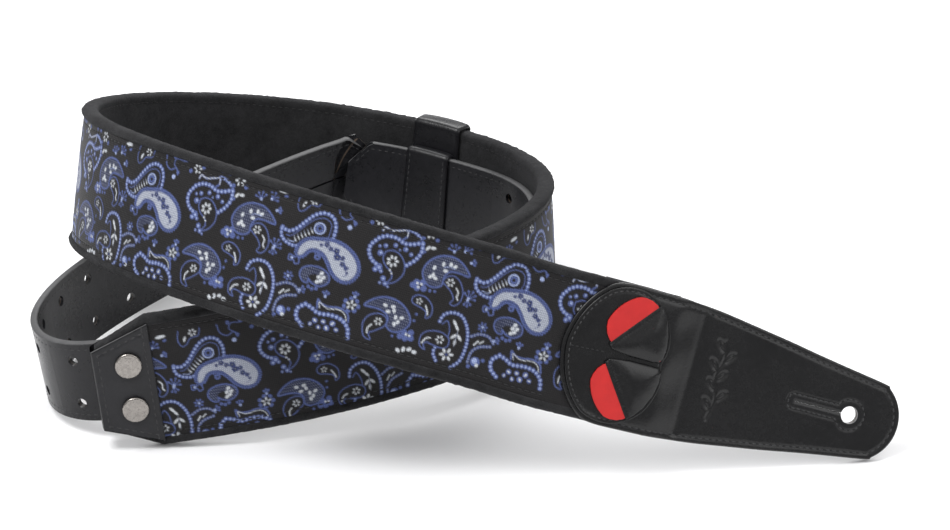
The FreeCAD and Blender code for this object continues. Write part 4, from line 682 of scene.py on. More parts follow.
def draw_tile(ox, oy):
    """All motifs of one repeat; the ring eye is at (ox, oy)."""
    T = lambda P: [(x + ox, y + oy) for x, y in P]
    # scrolling curl under the top border
    stroke(T([(5.5, 12.5), (6.5, 8.5), (9.5, 6.6), (12.5, 7.8), (14, 5.2)]), 0.7, C_BLUE)
    stroke(T([(19, 13), (16, 11.8), (12, 12.2), (10.6, 9.6), (13.5, 7.2)]), 0.6, C_BLUE)
    dot(ox + 12.2, oy + 3.9, 1.0, C_LIGHT); dot(ox + 14.0, oy + 6.2, 0.8, C_BLUE)
    # beaded paisley with the ring eye
    area(T([(-15.6, -5.6), (-12.2, -5.6), (-7, 0.8), (-3, 4.6), (1.2, 5.6), (4.9, 3.6), (5.4, -1), (2, -6), (-6, -8.6), (-12, -8.4)]), C_BG, 0.1)
    beads(T([(-15.9, -3.6), (-12.9, -4.6), (-9.6, -2.6), (-6.3, 1.8), (-3.2, 5.4), (0.8, 7.1), (4.7, 5.7), (6.6, 1.9), (6.7, -2.8)]), 0.95, 1.75)
    beads(T([(-16.0, -4.4), (-15.4, -7.2), (-12.7, -9.4), (-9.3, -10.2), (-7.8, -10.0)]), 0.9, 1.7)
    stroke(T([(-13.4, -6.4), (-11.2, -6.2), (-8.4, -3.2), (-5.0, 1.2), (-2.0, 3.9), (1.4, 4.7), (4.2, 3.2), (4.9, -0.4), (4.2, -3.6)]), 0.5, C_BLUE)
    stroke(T([(-12.2, -8.2), (-9.6, -8.6), (-8.6, -7.4)]), 0.4, C_LIGHT)
    for k in range(6):
        stroke(T([(-9.4 + k * 1.25, -6.9 + k * 1.05), (-8.5 + k * 1.2, -7.9 + k * 1.05)]), 0.62, C_CREAM, curve=False)
        stroke(T([(-9.4 + k * 1.25, -6.9 + k * 1.05), (-9.9 + k * 1.2, -5.8 + k * 1.0)]), 0.4, C_PALE, curve=False)
    dot(ox, oy, 2.95, C_BG); dot(ox, oy, 2.65, C_LIGHT); dot(ox, oy, 1.95, C_BG); dot(ox, oy, 1.65, C_BLUE); dot(ox, oy, 0.8, C_BG)
    # large pale paisley with a scalloped border
    big = T([(-6.2, -13.6), (-6.0, -9.6), (-3.2, -6.3), (1.5, -5.1), (7.5, -4.2), (13.5, -5.6), (18.3, -9.2), (20.3, -14), (18.3, -18.2), (14.3, -18.9),
             (10.6, -16.6), (7.6, -12.8), (4.5, -9.8), (0.6, -8.9), (-2.3, -10.0), (-4.1, -12.8)])
    P = smooth_closed(big, 220)
    c, _ = resample(P, 1.05, True)
    cen = P.mean(0)
    ring_ = inset(c, -1.1)
    for x, y in ring_:
        dot(x, y, 0.55, C_BLUE)
    area(big, C_BLUE, 0.8, grow=0.95)
    ring2 = inset(c, -0.62)
    for i, (x, y) in enumerate(ring2):
        dot(x, y, 0.27, C_DK)
    area(big, C_PALE, 1.0, hatch=np.array(lin(168, 172, 180)[:3]), grow=0.05)
    stroke(np.asarray(big), 0.35, C_NAVY, closed=True)
    for x, y, r in ((4.9, -5.9, 1.5), (7.0, -7.3, 1.3), (9.6, -7.6, 1.7), (10.6, -10.0, 1.8), (12.9, -9.9, 1.3), (13.6, -12.4, 1.5), (15.4, -13.7, 1.2), (16.4, -15.6, 0.8), (2.6, -6.7, 0.9)):
        for k in range(5):
            a = k * 1.2566 + x
            dot(ox + x + math.cos(a) * r * 0.55, oy + y + math.sin(a) * r * 0.55, r * 0.36, C_NAVY)
        dot(ox + x, oy + y, r * 0.42, C_DK); dot(ox + x, oy + y, r * 0.16, C_PALE)
    stroke(T([(14.0, -12.8), (15.8, -14.2), (16.8, -13.2)]), 0.35, C_NAVY); stroke(T([(15.4, -13.8), (16.2, -16.6), (15.0, -17.4)]), 0.35, C_NAVY)
    # curl hanging from its tip
    stroke(T([(-7.9, -14.5), (-9.6, -14.2), (-9.4, -16.6), (-7.2, -16.2), (-6.4, -17.6), (-4.6, -16.8), (-5.2, -14.6), (-3.2, -13.4)]), 0.75, C_BLUE)
    dot(ox - 8.2, oy - 15.4, 0.6, C_LIGHT); dot(ox + 2.4, oy - 12.2, 1.4, C_BLUE); dot(ox + 2.4, oy - 12.2, 0.5, C_BG); stroke(T([(0.6, -10.4), (2.2, -11.8), (4.2, -11.0)]), 0.5, C_BLUE)
    # dotted paisley under the large one
    pz = T([(-0.9, -23.9), (-2.9, -21.5), (-2.4, -18.4), (0.9, -16.6), (5.4, -16.4), (9.3, -18.5), (9.9, -21.8), (7.0, -24.2), (3.2, -23.8), (1.2, -22.2), (1.4, -24.0)])
    area(pz, C_DK, 0.5, dots=(C_PALE, 0.95, 0.16)); stroke(pz, 0.8, C_BLUE, closed=True)
    area(T([(1.0, -21.2), (3.6, -19.6), (5.4, -21.2), (3.4, -22.8)]), C_BG, 0.2)
    for x, y in ((6.2, -18.6), (7.4, -20.2), (6.6, -21.8), (5.2, -22.6), (5.4, -20.4)):
        ell(ox + x, oy + y, 0.95, 0.75, 0.7, C_CREAM)
    for x, y in ((2.2, -25.6), (3.9, -26.2), (5.6, -25.6)):
        dot(ox + x, oy + y, 0.8, C_BLUE)
    # crowned loop with a teardrop flower
    stroke(T([(26.0, 6.5), (26.8, 8.2), (29.6, 7.4), (33.4, 8.4), (36.2, 9.2), (36.8, 6.6), (35.4, 5.0)]), 1.0, C_BLUE)
    stroke(T([(26.0, 6.5), (26.8, 8.2), (29.6, 7.4), (33.4, 8.4), (36.2, 9.2), (36.8, 6.6)]), 0.45, C_CREAM)
    beads(T([(25.3, 2.9), (28.2, 4.6), (32.6, 4.8), (36.4, 3.4), (40.0, 4.0), (43.8, 5.6)]), 1.0, 1.8)
    beads(T([(25.3, 2.9), (23.0, -0.4), (22.7, -3.4), (24.3, -6.4), (26.6, -8.0), (28.8, -8.6)]), 1.0, 1.8)
    beads(T([(44.0, 5.2), (44.4, 1.4), (42.6, -2.6), (39.8, -5.6)]), 1.0, 1.8)
    beads(T([(36.8, 9.6), (39.8, 9.0), (42.4, 7.4)]), 0.8, 1.6)
    tp = T([(29.6, -2.0), (32.6, -0.8), (36.2, -2.0), (39.0, -5.6), (39.4, -10.0), (37.0, -13.8), (34.0, -15.2), (35.2, -12.6), (34.4, -10.2), (31.2, -7.9), (29.4, -5.2)])
    area(tp, C_BG, 0.2); stroke(tp[:8], 0.7, C_BLUE); stroke(tp[7:] + tp[:1], 0.7, C_BLUE)
    flower(ox + 33.6, oy - 5.4, 2.0, 7); dot(ox + 33.6, oy - 9.4, 0.45, C_CREAM); dot(ox + 34.6, oy - 10.6, 0.4, C_CREAM)
    for x, y, r in ((27.6, -3.2, 1.3), (29.0, 0.4, 1.0), (33.0, 1.6, 1.0), (37.6, 1.0, 1.1), (40.4, -0.6, 0.9), (26.6, -0.4, 0.7), (35.2, 0.0, 0.5)):
        dot(ox + x, oy + y, r, C_BLUE); dot(ox + x + 0.2, oy + y + 0.2, r * 0.45, C_LIGHT)
    for x, y, r in ((31.8, -13.6, 1.2), (33.2, -15.6, 1.1), (30.9, -15.8, 0.7), (34.6, -16.6, 0.6), (28.8, -9.4, 1.4), (27.4, -10.6, 1.2), (30.0, -10.8, 0.9)):
        dot(ox + x, oy + y, r, C_BLUE); dot(ox + x, oy + y, r * 0.45, C_LIGHT)
    # dotted paisley, point to the right
    p4 = T([(67.4, -3.4), (63.6, 0.8), (58.8, 2.9), (53.0, 2.2), (48.6, -1.4), (47.2, -6.4), (49.8, -10.8), (53.4, -11.8), (56.6, -10.2), (56.8, -6.4), (58.6, -3.6), (62.4, -3.2)])
    area(p4, C_DK, 0.5, dots=(C_PALE, 0.95, 0.17)); stroke(p4, 0.95, C_BLUE, closed=True)
    for x, y in ((55.0, -1.0), (58.2, -0.4), (60.2, -0.9), (56.6, -3.6), (52.0, -6.6), (53.2, -7.8), (51.0, -7.6), (51.6, -3.4)):
        ell(ox + x, oy + y, 1.0, 0.7, x, C_CREAM)
    stroke(T([(55.6, -2.4), (57.8, -1.4), (60.4, -1.8)]), 0.35, C_LIGHT)
    p5 = T([(56.8, -8.2), (58.4, -5.6), (61.4, -5.0), (64.4, -7.0), (66.6, -11.2), (66.4, -15.2), (64.4, -17.4), (62.4, -16.8), (63.2, -14.6), (61.4, -11.8), (58.4, -9.6)])
    area(p5, C_BG, 0.2); stroke(p5, 0.65, C_BLUE, closed=True)
    flower(ox + 60.1, oy - 8.0, 1.45, 6); stroke(T([(63.2, -9.8), (64.6, -11.4), (64.4, -13.4), (65.2, -14.6)]), 0.7, C_CREAM)
    for x, y in ((46.0, -11.4), (48.6, -11.0), (46.8, -13.8), (49.6, -13.4), (44.8, -13.0)):
        dot(ox + x, oy + y, 1.35, C_BLUE)
    for x, y in ((46.4, -11.8), (48.2, -11.8), (47.2, -13.4)):
        dot(ox + x, oy + y, 0.55, C_CREAM)
    sprig(ox + 69.6, oy - 12.8, 1.2, 3.4); sprig(ox + 69.4, oy - 13.6, -1.4, 2.6, n=3); dot(ox + 52.4, oy - 13.6, 0.7, C_BLUE); dot(ox + 54.6, oy - 13.4, 0.6, C_BLUE)
    sprig(ox + 58.0, oy + 5.4, 1.9, 3.2, n=4); sprig(ox + 62.6, oy + 6.6, 0.9, 3.2, n=4); sprig(ox + 66.4, oy + 2.4, 0.3, 2.0, n=3)
    # small paisley
    p8 = T([(46.2, -18.4), (48.4, -16.6), (52.0, -17.0), (55.4, -20.0), (55.9, -24.0), (54.0, -25.6), (53.4, -23.0), (50.4, -21.6), (47.0, -20.6)])
    area(p8, C_BG, 0.2); stroke(p8, 0.65, C_BLUE, closed=True)
    flower(ox + 49.4, oy - 19.2, 1.1, 5); stroke(T([(52.6, -20.4), (53.6, -22.0), (54.4, -24.0)]), 0.75, C_CREAM)
    # dotted paisley, point to the left
    p9 = T([(27.4, -26.8), (30.8, -23.0), (36.0, -21.0), (42.0, -22.0), (46.6, -25.6), (48.2, -29.8), (45.6, -33.8), (41.8, -35.0), (38.8, -33.2), (38.6, -30.0), (36.6, -27.8), (32.4, -26.8)])
    area(p9, C_DK, 0.5, dots=(C_PALE, 0.95, 0.17)); stroke(p9, 0.95, C_BLUE, closed=True)
    for x, y in ((36.0, -24.6), (39.4, -24.4), (37.8, -27.0), (41.6, -28.6), (43.0, -30.4), (41.8, -31.6), (44.2, -28.2), (40.2, -26.0)):
        ell(ox + x, oy + y, 1.0, 0.7, x * 2, C_CREAM)
    p10 = T([(29.8, -38.4), (28.9, -34.0), (30.8, -30.4), (34.6, -28.8), (38.0, -30.0), (38.2, -33.2), (35.0, -36.2), (32.4, -38.2), (33.8, -40.6), (31.4, -40.4)])
    area(p10, C_BG, 0.2); stroke(p10, 0.65, C_BLUE, closed=True)
    flower(ox + 35.0, oy - 32.2, 1.35, 6); stroke(T([(32.6, -34.2), (31.4, -36.0), (31.6, -38.2)]), 0.75, C_CREAM)
    for x, y in ((47.0, -34.0), (49.8, -33.4), (48.0, -36.4), (50.4, -35.8), (45.6, -36.0)):
        dot(ox + x, oy + y, 1.3, C_BLUE)
    dot(ox + 48.0, oy - 34.6, 0.55, C_CREAM); dot(ox + 49.4, oy - 34.8, 0.5, C_CREAM)
    for x, y in ((49.6, -28.0), (49.8, -25.0), (42.4, -36.8)):
        dot(ox + x, oy + y, 0.6, C_BLUE)
    # ribbed S with a crest
    beads(T([(24.4, -42.6), (23.4, -38.8), (20.0, -35.8), (15.2, -35.0), (9.6, -35.6), (6.0, -34.0), (3.2, -33.2)]), 1.05, 1.8)
    beads(T([(3.2, -33.2), (0.4, -36.0), (1.0, -40.0), (4.2, -42.6)]), 1.05, 1.8)
    stroke(T([(8.4, -33.4), (7.8, -29.8), (9.6, -31.2), (13.0, -31.8), (17.8, -31.0), (21.6, -32.6), (22.8, -35.8)]), 1.0, C_BLUE)
    stroke(T([(9.4, -33.2), (8.8, -30.8), (12.6, -32.6), (17.6, -31.8), (20.6, -33.2), (21.8, -35.6)]), 0.42, C_CREAM)
    for x, y, r in ((9.0, -39.0, 1.2), (12.6, -38.6, 1.1), (16.6, -38.4, 1.3), (14.6, -41.0, 1.3), (18.8, -40.6, 1.0), (7.4, -41.0, 0.9), (11.2, -41.6, 1.0)):
        dot(ox + x, oy + y, r, C_BLUE); ell(ox + x, oy + y, r * 0.6, r * 0.34, x, C_CREAM)
    for k in range(7):
        a = k * 0.9
        dot(ox + 22.0 + math.cos(a) * 3.0, oy - 28.4 + math.sin(a) * 2.7, 1.0, C_BLUE)
    dot(ox + 22.0, oy - 28.4, 2.3, C_BG)
    for k in range(5):
        a = k * 1.2566 + 0.3
        ell(ox + 22.0 + math.cos(a) * 1.5, oy - 28.4 + math.sin(a) * 1.4, 0.85, 0.42, a, C_CREAM)
    sprig(ox + 22.6, oy - 24.6, 1.6, 2.0, n=3); sprig(ox + 10.4, oy - 27.8, 1.6, 2.2, n=3)
    # tall beaded paisley with leaves
    area(T([(61, -24), (64, -20), (70, -20.6), (73.6, -26), (74.6, -34), (73.2, -40), (69, -44), (62, -42), (60, -38), (66, -36), (66, -30), (61, -27)]), C_BG, 0.1)
    beads(T([(60.4, -25.4), (61.2, -22.4), (64.6, -20.4), (69.0, -21.0), (72.4, -24.8), (74.2, -30.0), (74.4, -35.6), (73.4, -40.4), (70.6, -43.8)]), 0.85, 1.6)
    stroke(T([(61.8, -26.2), (63.6, -24.4), (65.4, -27.6), (65.8, -31.2)]), 0.6, C_BLUE)
    beads(T([(61.6, -36.8), (61.4, -39.4), (63.4, -42.4)]), 0.8, 1.5)
    ell(ox + 67.0, oy - 24.6, 1.5, 0.6, 0.7 + 1.57, C_CREAM); ell(ox + 68.4, oy - 26.4, 1.4, 0.55, -0.9, C_CREAM)
    ell(ox + 68.0, oy - 30.4, 1.5, 0.6, 0.8, C_CREAM); ell(ox + 70.6, oy - 30.4, 1.5, 0.6, -0.8, C_CREAM); ell(ox + 69.2, oy - 32.8, 1.3, 0.5, 1.57, C_CREAM)
    stroke(T([(69.2, -28.0), (69.4, -34.6)]), 0.35, C_PALE, curve=False)
    p14 = T([(54.8, -37.6), (54.2, -33.6), (56.6, -30.8), (61.8, -29.8), (66.0, -31.6), (66.8, -34.6), (64.8, -36.6), (60.4, -36.2), (57.4, -35.6), (56.2, -36.8), (57.4, -38.8)])
    area(p14, C_BG, 0.2); stroke(p14, 0.65, C_BLUE, closed=True)
    flower(ox + 62.6, oy - 33.2, 1.45, 6); stroke(T([(58.4, -33.4), (56.6, -34.0), (55.4, -36.4)]), 0.75, C_CREAM)
    for k in range(6):
        a = k * 1.047 + 0.2
        ell(ox + 67.2 + math.cos(a) * 2.1, oy - 38.8 + math.sin(a) * 1.9, 1.0, 0.6, a, C_CREAM)
    dot(ox + 67.2, oy - 38.8, 0.6, C_NAVY)
    # leafy branches
    beads(T([(75.6, -28.4), (79.0, -26.6), (83.0, -26.8), (85.6, -29.0)]), 0.65, 1.4, core=C_PALE)
    beads(T([(77.0, -39.6), (77.4, -35.2), (80.0, -32.2), (84.6, -30.8)]), 0.65, 1.4, core=C_PALE)
    stroke(T([(79.0, -29.8), (77.6, -31.8)]), 0.8, C_CREAM); stroke(T([(81.4, -29.2), (79.8, -30.6)]), 0.6, C_CREAM)
    flower(ox + 79.2, oy - 23.4, 1.7, 7, petal=C_BLUE, mid=C_LIGHT)
    dot(ox + 80.2, oy - 38.8, 2.1, C_BLUE); dot(ox + 79.8, oy - 38.4, 1.2, C_LIGHT); dot(ox + 81.2, oy - 40.2, 0.8, C_CREAM); dot(ox + 77.8, oy - 41.4, 0.9, C_BLUE); dot(ox + 83.4, oy - 37.4, 0.8, C_BLUE)
    sprig(ox + 85.6, oy - 28.0, 0.4, 2.2, n=3)
    # flowers cut by the borders
    flower(ox + 24.0, oy + 10.4, 1.7, 6); dot(ox + 20.6, oy + 8.6, 0.9, C_BLUE); dot(ox + 26.8, oy + 11.6, 0.9, C_BLUE)
    flower(ox + 46.2, oy + 10.6, 1.9, 6); dot(ox + 43.6, oy + 7.6, 0.9, C_BLUE); dot(ox + 49.6, oy + 8.4, 0.9, C_BLUE)
    ell(ox + 46.6, oy + 4.0, 1.2, 0.6, 1.0, C_CREAM); ell(ox + 48.8, oy + 4.6, 1.2, 0.6, 0.1, C_CREAM); dot(ox + 45.6, oy + 2.2, 0.6, C_BLUE)
    ell(ox + 67.0, oy + 11.4, 2.2, 0.8, 0.1, C_CREAM); ell(ox + 68.6, oy + 9.4, 0.9, 0.6, 0.4, C_BLUE)
    p17 = T([(75.0, 12.6), (74.4, 8.4), (75.8, 5.2), (78.0, 5.8), (80.0, 8.4), (83.6, 9.2), (84.6, 12.6)])
    stroke(p17, 0.6, C_BLUE); ell(ox + 77.4, oy + 8.4, 1.3, 0.5, 1.2, C_CREAM); flower(ox + 81.2, oy + 11.0, 1.4, 6)
    for x, y in ((48.6, -41.2), (51.0, -40.6), (53.4, -41.2), (46.4, -42.2)):
        ell(ox + x, oy + y, 1.1, 0.8, x, C_CREAM)
    for x, y in ((36.6, 12.6), (40.4, 12.4), (10.4, 12.6), (16.0, 12.8)):
        dot(ox + x, oy + y, 0.9, C_BLUE)

draw_tile(REP * 0.25, 12.0)
# eye height above the strap's centre line, along the strap
EYE_S = np.array([-40, 49.2, 222.6, 656.0, 742.7, 829.4, 920.0])
EYE_A = np.array([9.4, 10.0, 11.2, 15.0, 17.1, 19.3, 21.4])
def pattern(s, a):
    """Colour and relief at flat strap positions (mm)."""
    x = (s - 49.2 + REP * 0.25) % REP
    y = a - np.interp(s, EYE_S, EYE_A) + 12.0
    fx = x / REP * NX - 0.5; fy = (y + HW) * RES - 0.5
    i = np.floor(fx).astype(int); j = np.clip(np.floor(fy).astype(int), 0, NY - 2)
    u = (fx - i)[..., None]; v = np.clip(fy - j, 0, 1)[..., None]
    i0, i1 = i % NX, (i + 1) % NX
    def g(A):
        return A[j, i0] * (1 - u) * (1 - v) + A[j, i1] * u * (1 - v) + A[j + 1, i0] * (1 - u) * v + A[j + 1, i1] * u * v
    return g(IMG), g(REL[..., None])[..., 0]

# ---------------------------------------------------------------- padded belt
S1 = 905.0
def lipk(s):
    """How far the rolled edges stand up: pressed flat under the end cap and under the tab."""
    s = np.asarray(s, float)
    k = np.clip((s - 22.0) / 8.0, 0, 1) * np.clip((864.0 - s) / 14.0, 0, 1)
    return k * k * (3 - 2 * k)

def belt_section(k):
    right = [(27.75, 2.35), (27.80, 3.0 + 0.15 * k), (28.2, 3.25 + 0.55 * k), (28.9, 3.38 + 0.92 * k), (29.8, 3.40 + 0.92 * k), (30.6, 3.30 + 0.62 * k), (31.25, 2.85 + 0.4 * k),
             (31.65, 2.1), (31.85, 1.0), (31.9, 0.0), (31.8, -1.2), (31.5, -2.3), (30.9, -3.1), (30.0, -3.5), (28.6, -3.55), (27.6, -3.35), (26.6, -3.5),
             (20.0, -3.6), (12.0, -3.65), (4.0, -3.7)]
    return np.array(right + [(-a, b) for a, b in right[::-1]])
ss = np.unique(np.concatenate([np.arange(0, 34, 1.0), np.arange(34, 840, 1.6), np.arange(840, 870, 1.5), np.arange(870, S1 + 0.1, 5.0), [S1]]))
V = []
for s in ss:
    sec = belt_section(float(lipk(s)))
    w = 1.0
    lim = 20.2 + (31.75 - 20.2) * min(1.0, s / 23.5)          # blunt, chamfered end
    sc = np.minimum(1.0, lim / 31.9)
    a = sec[:, 0] * sc
    fuzz = rng.normal(0, 0.11, len(a)) * (np.abs(sec[:, 0]) > 28.4)
    V.append(belt.point(s, a + fuzz, sec[:, 1] + fuzz))
V = np.array(V); n, m = V.shape[:2]
V = V.reshape(-1, 3)
faces = grid_faces(n, m, True)[:, ::-1].tolist() + [list(range(m)), [(n - 1) * m + k for k in range(m)][::-1]]
uv = np.stack([np.repeat(ss, m), np.tile(np.cumsum(np.r_[0, np.linalg.norm(np.diff(belt_section(1.0), axis=0), axis=1)]), n)], -1) / 1000
belt_body = mesh_obj("belt_suede_body", V, faces, M_SUEDE, uv=uv, replaces=("suede_lining", "foam_pad", "webbing_core"))

# woven face: a fine grid carrying the pattern as colour and thread relief
STEP = 0.5
FA = 27.9
pieces = [(9.0, 230.0), (230.0, 450.0), (450.0, 670.0), (670.0, 884.0)]
for pi, (s0, s1) in enumerate(pieces):
    sg = np.linspace(s0, s1, int((s1 - s0) / STEP) + 1); ag = np.linspace(-FA, FA, int(2 * FA / STEP) + 1)
    S, A = np.meshgrid(sg, ag, indexing="ij")
    col, rel = pattern(S, A)
    crown = 0.42 * (1 - (A / FA) ** 4)
    st = -0.30 * np.exp(-((np.abs(A) - 25.2) / 0.55) ** 2)
    under = lipk(S)
    Bh = 2.95 + crown * (0.35 + 0.65 * under) + st * under + 0.10 * rel * under
    lim = 20.2 + (31.75 - 20.2) * np.minimum(1.0, S / 23.5) - 1.5
    A2 = np.where(S < 24, np.clip(A, -lim, lim), A)
    P = belt.point(S, A2, np.minimum(Bh, 3.46 + 0.4 * under))
    o = mesh_obj("woven_face_%d" % (pi + 1), P.reshape(-1, 3), grid_faces(*S.shape)[:, ::-1], M_CLOTH, uv=np.stack([S, A], -1).reshape(-1, 2) / 1000,
                 replaces=("fabric_face",) if pi == 0 else ())
    # make sure the cloth faces outwards
    f0 = o.data.polygons[len(o.data.polygons) // 2]
    if Vector(belt.normal((s0 + s1) / 2)[0]).dot(f0.normal) < 0:
        o.data.flip_normals()
    ca = o.data.color_attributes.new(name="Col", type="FLOAT_COLOR", domain="POINT")
    ca.data.foreach_set("color", np.c_[col.reshape(-1, 3), np.ones(col.size // 3)].astype(np.float32).ravel())

for sg in (1, -1):
    q = np.arange(26.5, 857, 1.0)
    stitches("belt_stitch_" + ("upper" if sg > 0 else "lower"), belt.point(q, sg * 25.2, 3.02), belt.normal(q), M_THREAD, length=2.3, gap=0.9, rad=0.36)
    stitches("belt_back_stitch_" + ("upper" if sg > 0 else "lower"), belt.point(q, sg * 27.6, -3.42), -belt.normal(q), M_THREAD, length=2.3, gap=0.9, rad=0.32)

# ---------------------------------------------------------------- leather tab
def sm(x):
    x = np.clip(x, 0, 1)
    return x * x * (3 - 2 * x)
TAB_TOP = [(-136.0, 31.8), (-126.0, 31.75), (-108.0, 31.2), (-92.0, 29.9), (-74.0, 27.3), (-58.0, 24.9), (-44.0, 22.5), (-32.0, 20.6)]
TIPA = [(-19.6 + 19.6 * math.cos(math.radians(62 - 124 * i / 16)), 19.6 * math.sin(math.radians(62 - 124 * i / 16))) for i in range(17)]
TAB_LEFT = [(-142.5, -30.6), (-147.6, -27.0), (-152.0, -22.0), (-155.8, -15.5), (-158.4, -8.0), (-159.6, 0.0), (-158.4, 8.0), (-155.8, 15.5), (-152.0, 22.0), (-147.6, 27.0), (-142.5, 30.6)]
OUT_FRONT = TAB_TOP + TIPA + [(x, -y) for x, y in reversed(TAB_TOP)] + TAB_LEFT
OUT_FRONT = smooth_closed(OUT_FRONT, 420)
OUT_BACK = TAB_TOP[1:] + TIPA + [(x, -y) for x, y in reversed(TAB_TOP[1:])] + [(-146.0, -31.75), (-146.0, 31.75)]
UP = S1 - LB                                   # where the padding ends
def ramp_k(u):
    return 1 - sm((u - (UP - 1.0)) / 15.0)      # 1 on the padding, 0 on the flat tab
def keyhole_dist(u, v):
    a = np.hypot(u + 23.3, v)
    b = seg_dist(np.stack([u, v], -1), np.array([(-49.4, 0.0), (-23.3, 0.0)]), False)
    return np.minimum(a - 3.9, b - 0.6)
def groove(d, at, w=0.6, depth=0.28):
    return -depth * np.exp(-((d - at) / w) ** 2)
def tab_top(u, v, d):
    k = ramp_k(u)
    base = 2.0 + (5.08 - 2.0) * k
    puff = 0.55 * k * sm(d / 9.0) * sm((UP + 6 - u) / 10.0)
    # moulding: leather pulled down over the padding's end leaves a soft crease and folds
    crease = -0.5 * np.exp(-((u - (UP + 13.5)) / 2.2) ** 2) * sm(d / 5)
    folds = 0.35 * np.exp(-((u - (UP + 4)) / 6.0) ** 2) * np.sin(v * 0.23 + 0.6) * sm(d / 6)
    kd = keyhole_dist(u, v)
    kg = groove(kd, 3.0, 0.5, 0.22) * (u > -60)
    slit = -0.45 * np.exp(-(seg_dist(np.stack([u, v], -1), np.array([(-49.4, 0.0), (-27.0, 0.0)]), False) / 0.55) ** 2)
    wave = slit + 0.10 * np.sin(u * 0.12 + v * 0.07) * sm(d / 6) * (1 - k)
    orn = 0.0
    return base + puff + crease + folds + groove(d, 2.6) + kg + wave
def emboss(u, v):
    """A plain pressed ornament: a leaf spray, no lettering."""
    q = np.stack([u, v], -1)
    o = np.zeros(len(u))
    stem = smooth_open([(-86.5, -17.5), (-85.0, -8.0), (-87.5, 1.0), (-85.5, 10.0), (-87.0, 17.5)], 1.0)
    o = np.maximum(o, np.exp(-(seg_dist(q, stem, False) / 0.85) ** 2))
    for k, (x, y) in enumerate(resample(stem, 4.4)[0][1:-1]):
        sg = 1 if k % 2 else -1
        leaf = smooth_closed([(x, y), (x + sg * 2.4, y + 1.2), (x + sg * 4.6, y + 4.2), (x + sg * 2.0, y + 3.6)], 40)
        o = np.maximum(o, np.exp(-(seg_dist(q, leaf) / 0.75) ** 2))
    return -0.5 * o
def tab_top_full(u, v, d):
    z = tab_top(u, v, d)
    m = (u > -96) & (u < -76)
    if m.any():
        z[m] += emboss(u[m], v[m])
    return z
key = [(-23.3 + 3.9 * math.cos(t), 3.9 * math.sin(t)) for t in np.radians(np.linspace(178.5, -178.5, 42))]
KEY = np.array([(-49.4, 0.55)] + key[:] + [(-49.4, -0.55)])
KEY = np.array([(-49.4, -0.10), (-49.8, 0.0), (-49.4, 0.10)] + [(x, y) for x, y in key])
cut = prism_cutter(TIP, KEY[::-1], -9.0, 12.0)
TST = 0.62
tabf = plate("tab_front", TIP, OUT_FRONT, tab_top_full, 1.5, 0.75, M_TAB, step=TST, cut=(cut,), replaces=("tab_front_leather",),
             bottom=lambda u, v, d: np.where(u < -112, 3.56, 0.5 + (3.56 - 0.5) * ramp_k(u)) - 0.0)
def back_top(u, v, d):
    k = ramp_k(u)
    return 2.0 + (5.05 - 2.0) * k + 0.3 * k * sm(d / 8.0) + groove(d, 2.6) + groove(keyhole_dist(u, v), 3.0, 0.5, 0.2) * (u > -60)
tabb = plate("tab_back", TIP, resample(np.array(OUT_BACK), 0.8, True)[0], back_top, 1.5, 0.7, M_TAB, step=max(TST, 1.3), flip=True, cut=(cut,), replaces=("tab_back_leather",),
             bottom=lambda u, v, d: np.where(u < -112, 3.75, 0.5 + (3.75 - 0.5) * ramp_k(u)))
# stiffener edge seen between the two leathers at the rim stays the CAD node; stitches round the tab
def path_at(outline, dist, zf, F, sgn=1.0, dz=0.14):
    p = inset(resample(np.array(outline), 1.0, True)[0], dist)
    p = resample(p, 0.8, True)[0]
    p = np.vstack([p, p[:1]])
    d = np.full(len(p), dist)
    z = zf(p[:, 0].copy(), p[:, 1].copy(), d) + dz
    return local(F, np.c_[p, z * sgn])
N_TIP, N_END = TIP[3], END[3]
stitches("tab_stitch_front", path_at(OUT_FRONT, 2.6, tab_top, TIP), N_TIP, M_THREADT, length=2.2, gap=0.9, rad=0.42)
stitches("tab_stitch_back", path_at(OUT_BACK, 2.6, back_top, TIP, -1.0), -N_TIP, M_THREAD, length=2.1, gap=0.9, rad=0.33)
def key_path(r):
    t = np.radians(np.arange(155, -156, -6))
    pts = [(-51.6, r * 0.45), (-47.0, r * 0.46), (-36.0, r * 0.46), (-30.2, r * 0.48)] + [(-23.3 + r * math.cos(a), r * math.sin(a)) for a in t] + [(-30.2, -r * 0.48), (-36.0, -r * 0.46), (-47.0, -r * 0.46), (-51.6, -r * 0.45), (-52.4, 0.0), (-51.6, r * 0.45)]
    return smooth_open(pts, 0.6)
kp = key_path(6.9)
for nm, zf, sg, nn in (("front", tab_top, 1.0, N_TIP), ("back", back_top, -1.0, -N_TIP)):
    z = zf(kp[:, 0].copy(), kp[:, 1].copy(), np.full(len(kp), 12.0))
    stitches("keyhole_stitch_" + nm, local(TIP, np.c_[kp, (z + 0.12) * sg]), nn, M_THREADT, length=1.8, gap=0.7, rad=0.36)

# ---------------------------------------------------------------- pick holder
PATCH = smooth_closed([(-142.0, 28.6), (-146.3, 25.6), (-150.5, 20.9), (-154.1, 14.7), (-156.6, 7.6), (-157.7, 0.0), (-156.6, -7.6), (-154.1, -14.7), (-150.5, -20.9), (-146.3, -25.6), (-142.0, -28.6), (-135.0, -30.2),
         (-128.0, -29.6), (-121.0, -26.2), (-115.6, -20.5), (-112.6, -13.0), (-111.8, -6.5), (-113.6, 0.0), (-112.3, 6.5), (-112.9, 13.0), (-115.9, 20.5), (-121.5, 27.0), (-129.0, 30.3), (-136.0, 30.4)], 300)
def patch_top(u, v, d):
    return 6.1 + 0.12 * sm(d / 3.0) + groove(d, 1.7, 0.45, 0.18)
plate("patch_base", TIP, PATCH, patch_top, 1.1, 0.5, M_TAB, step=TST * 1.2, replaces=("pick_patch_base",), bottom=lambda u, v, d: np.full(len(u), 5.02))
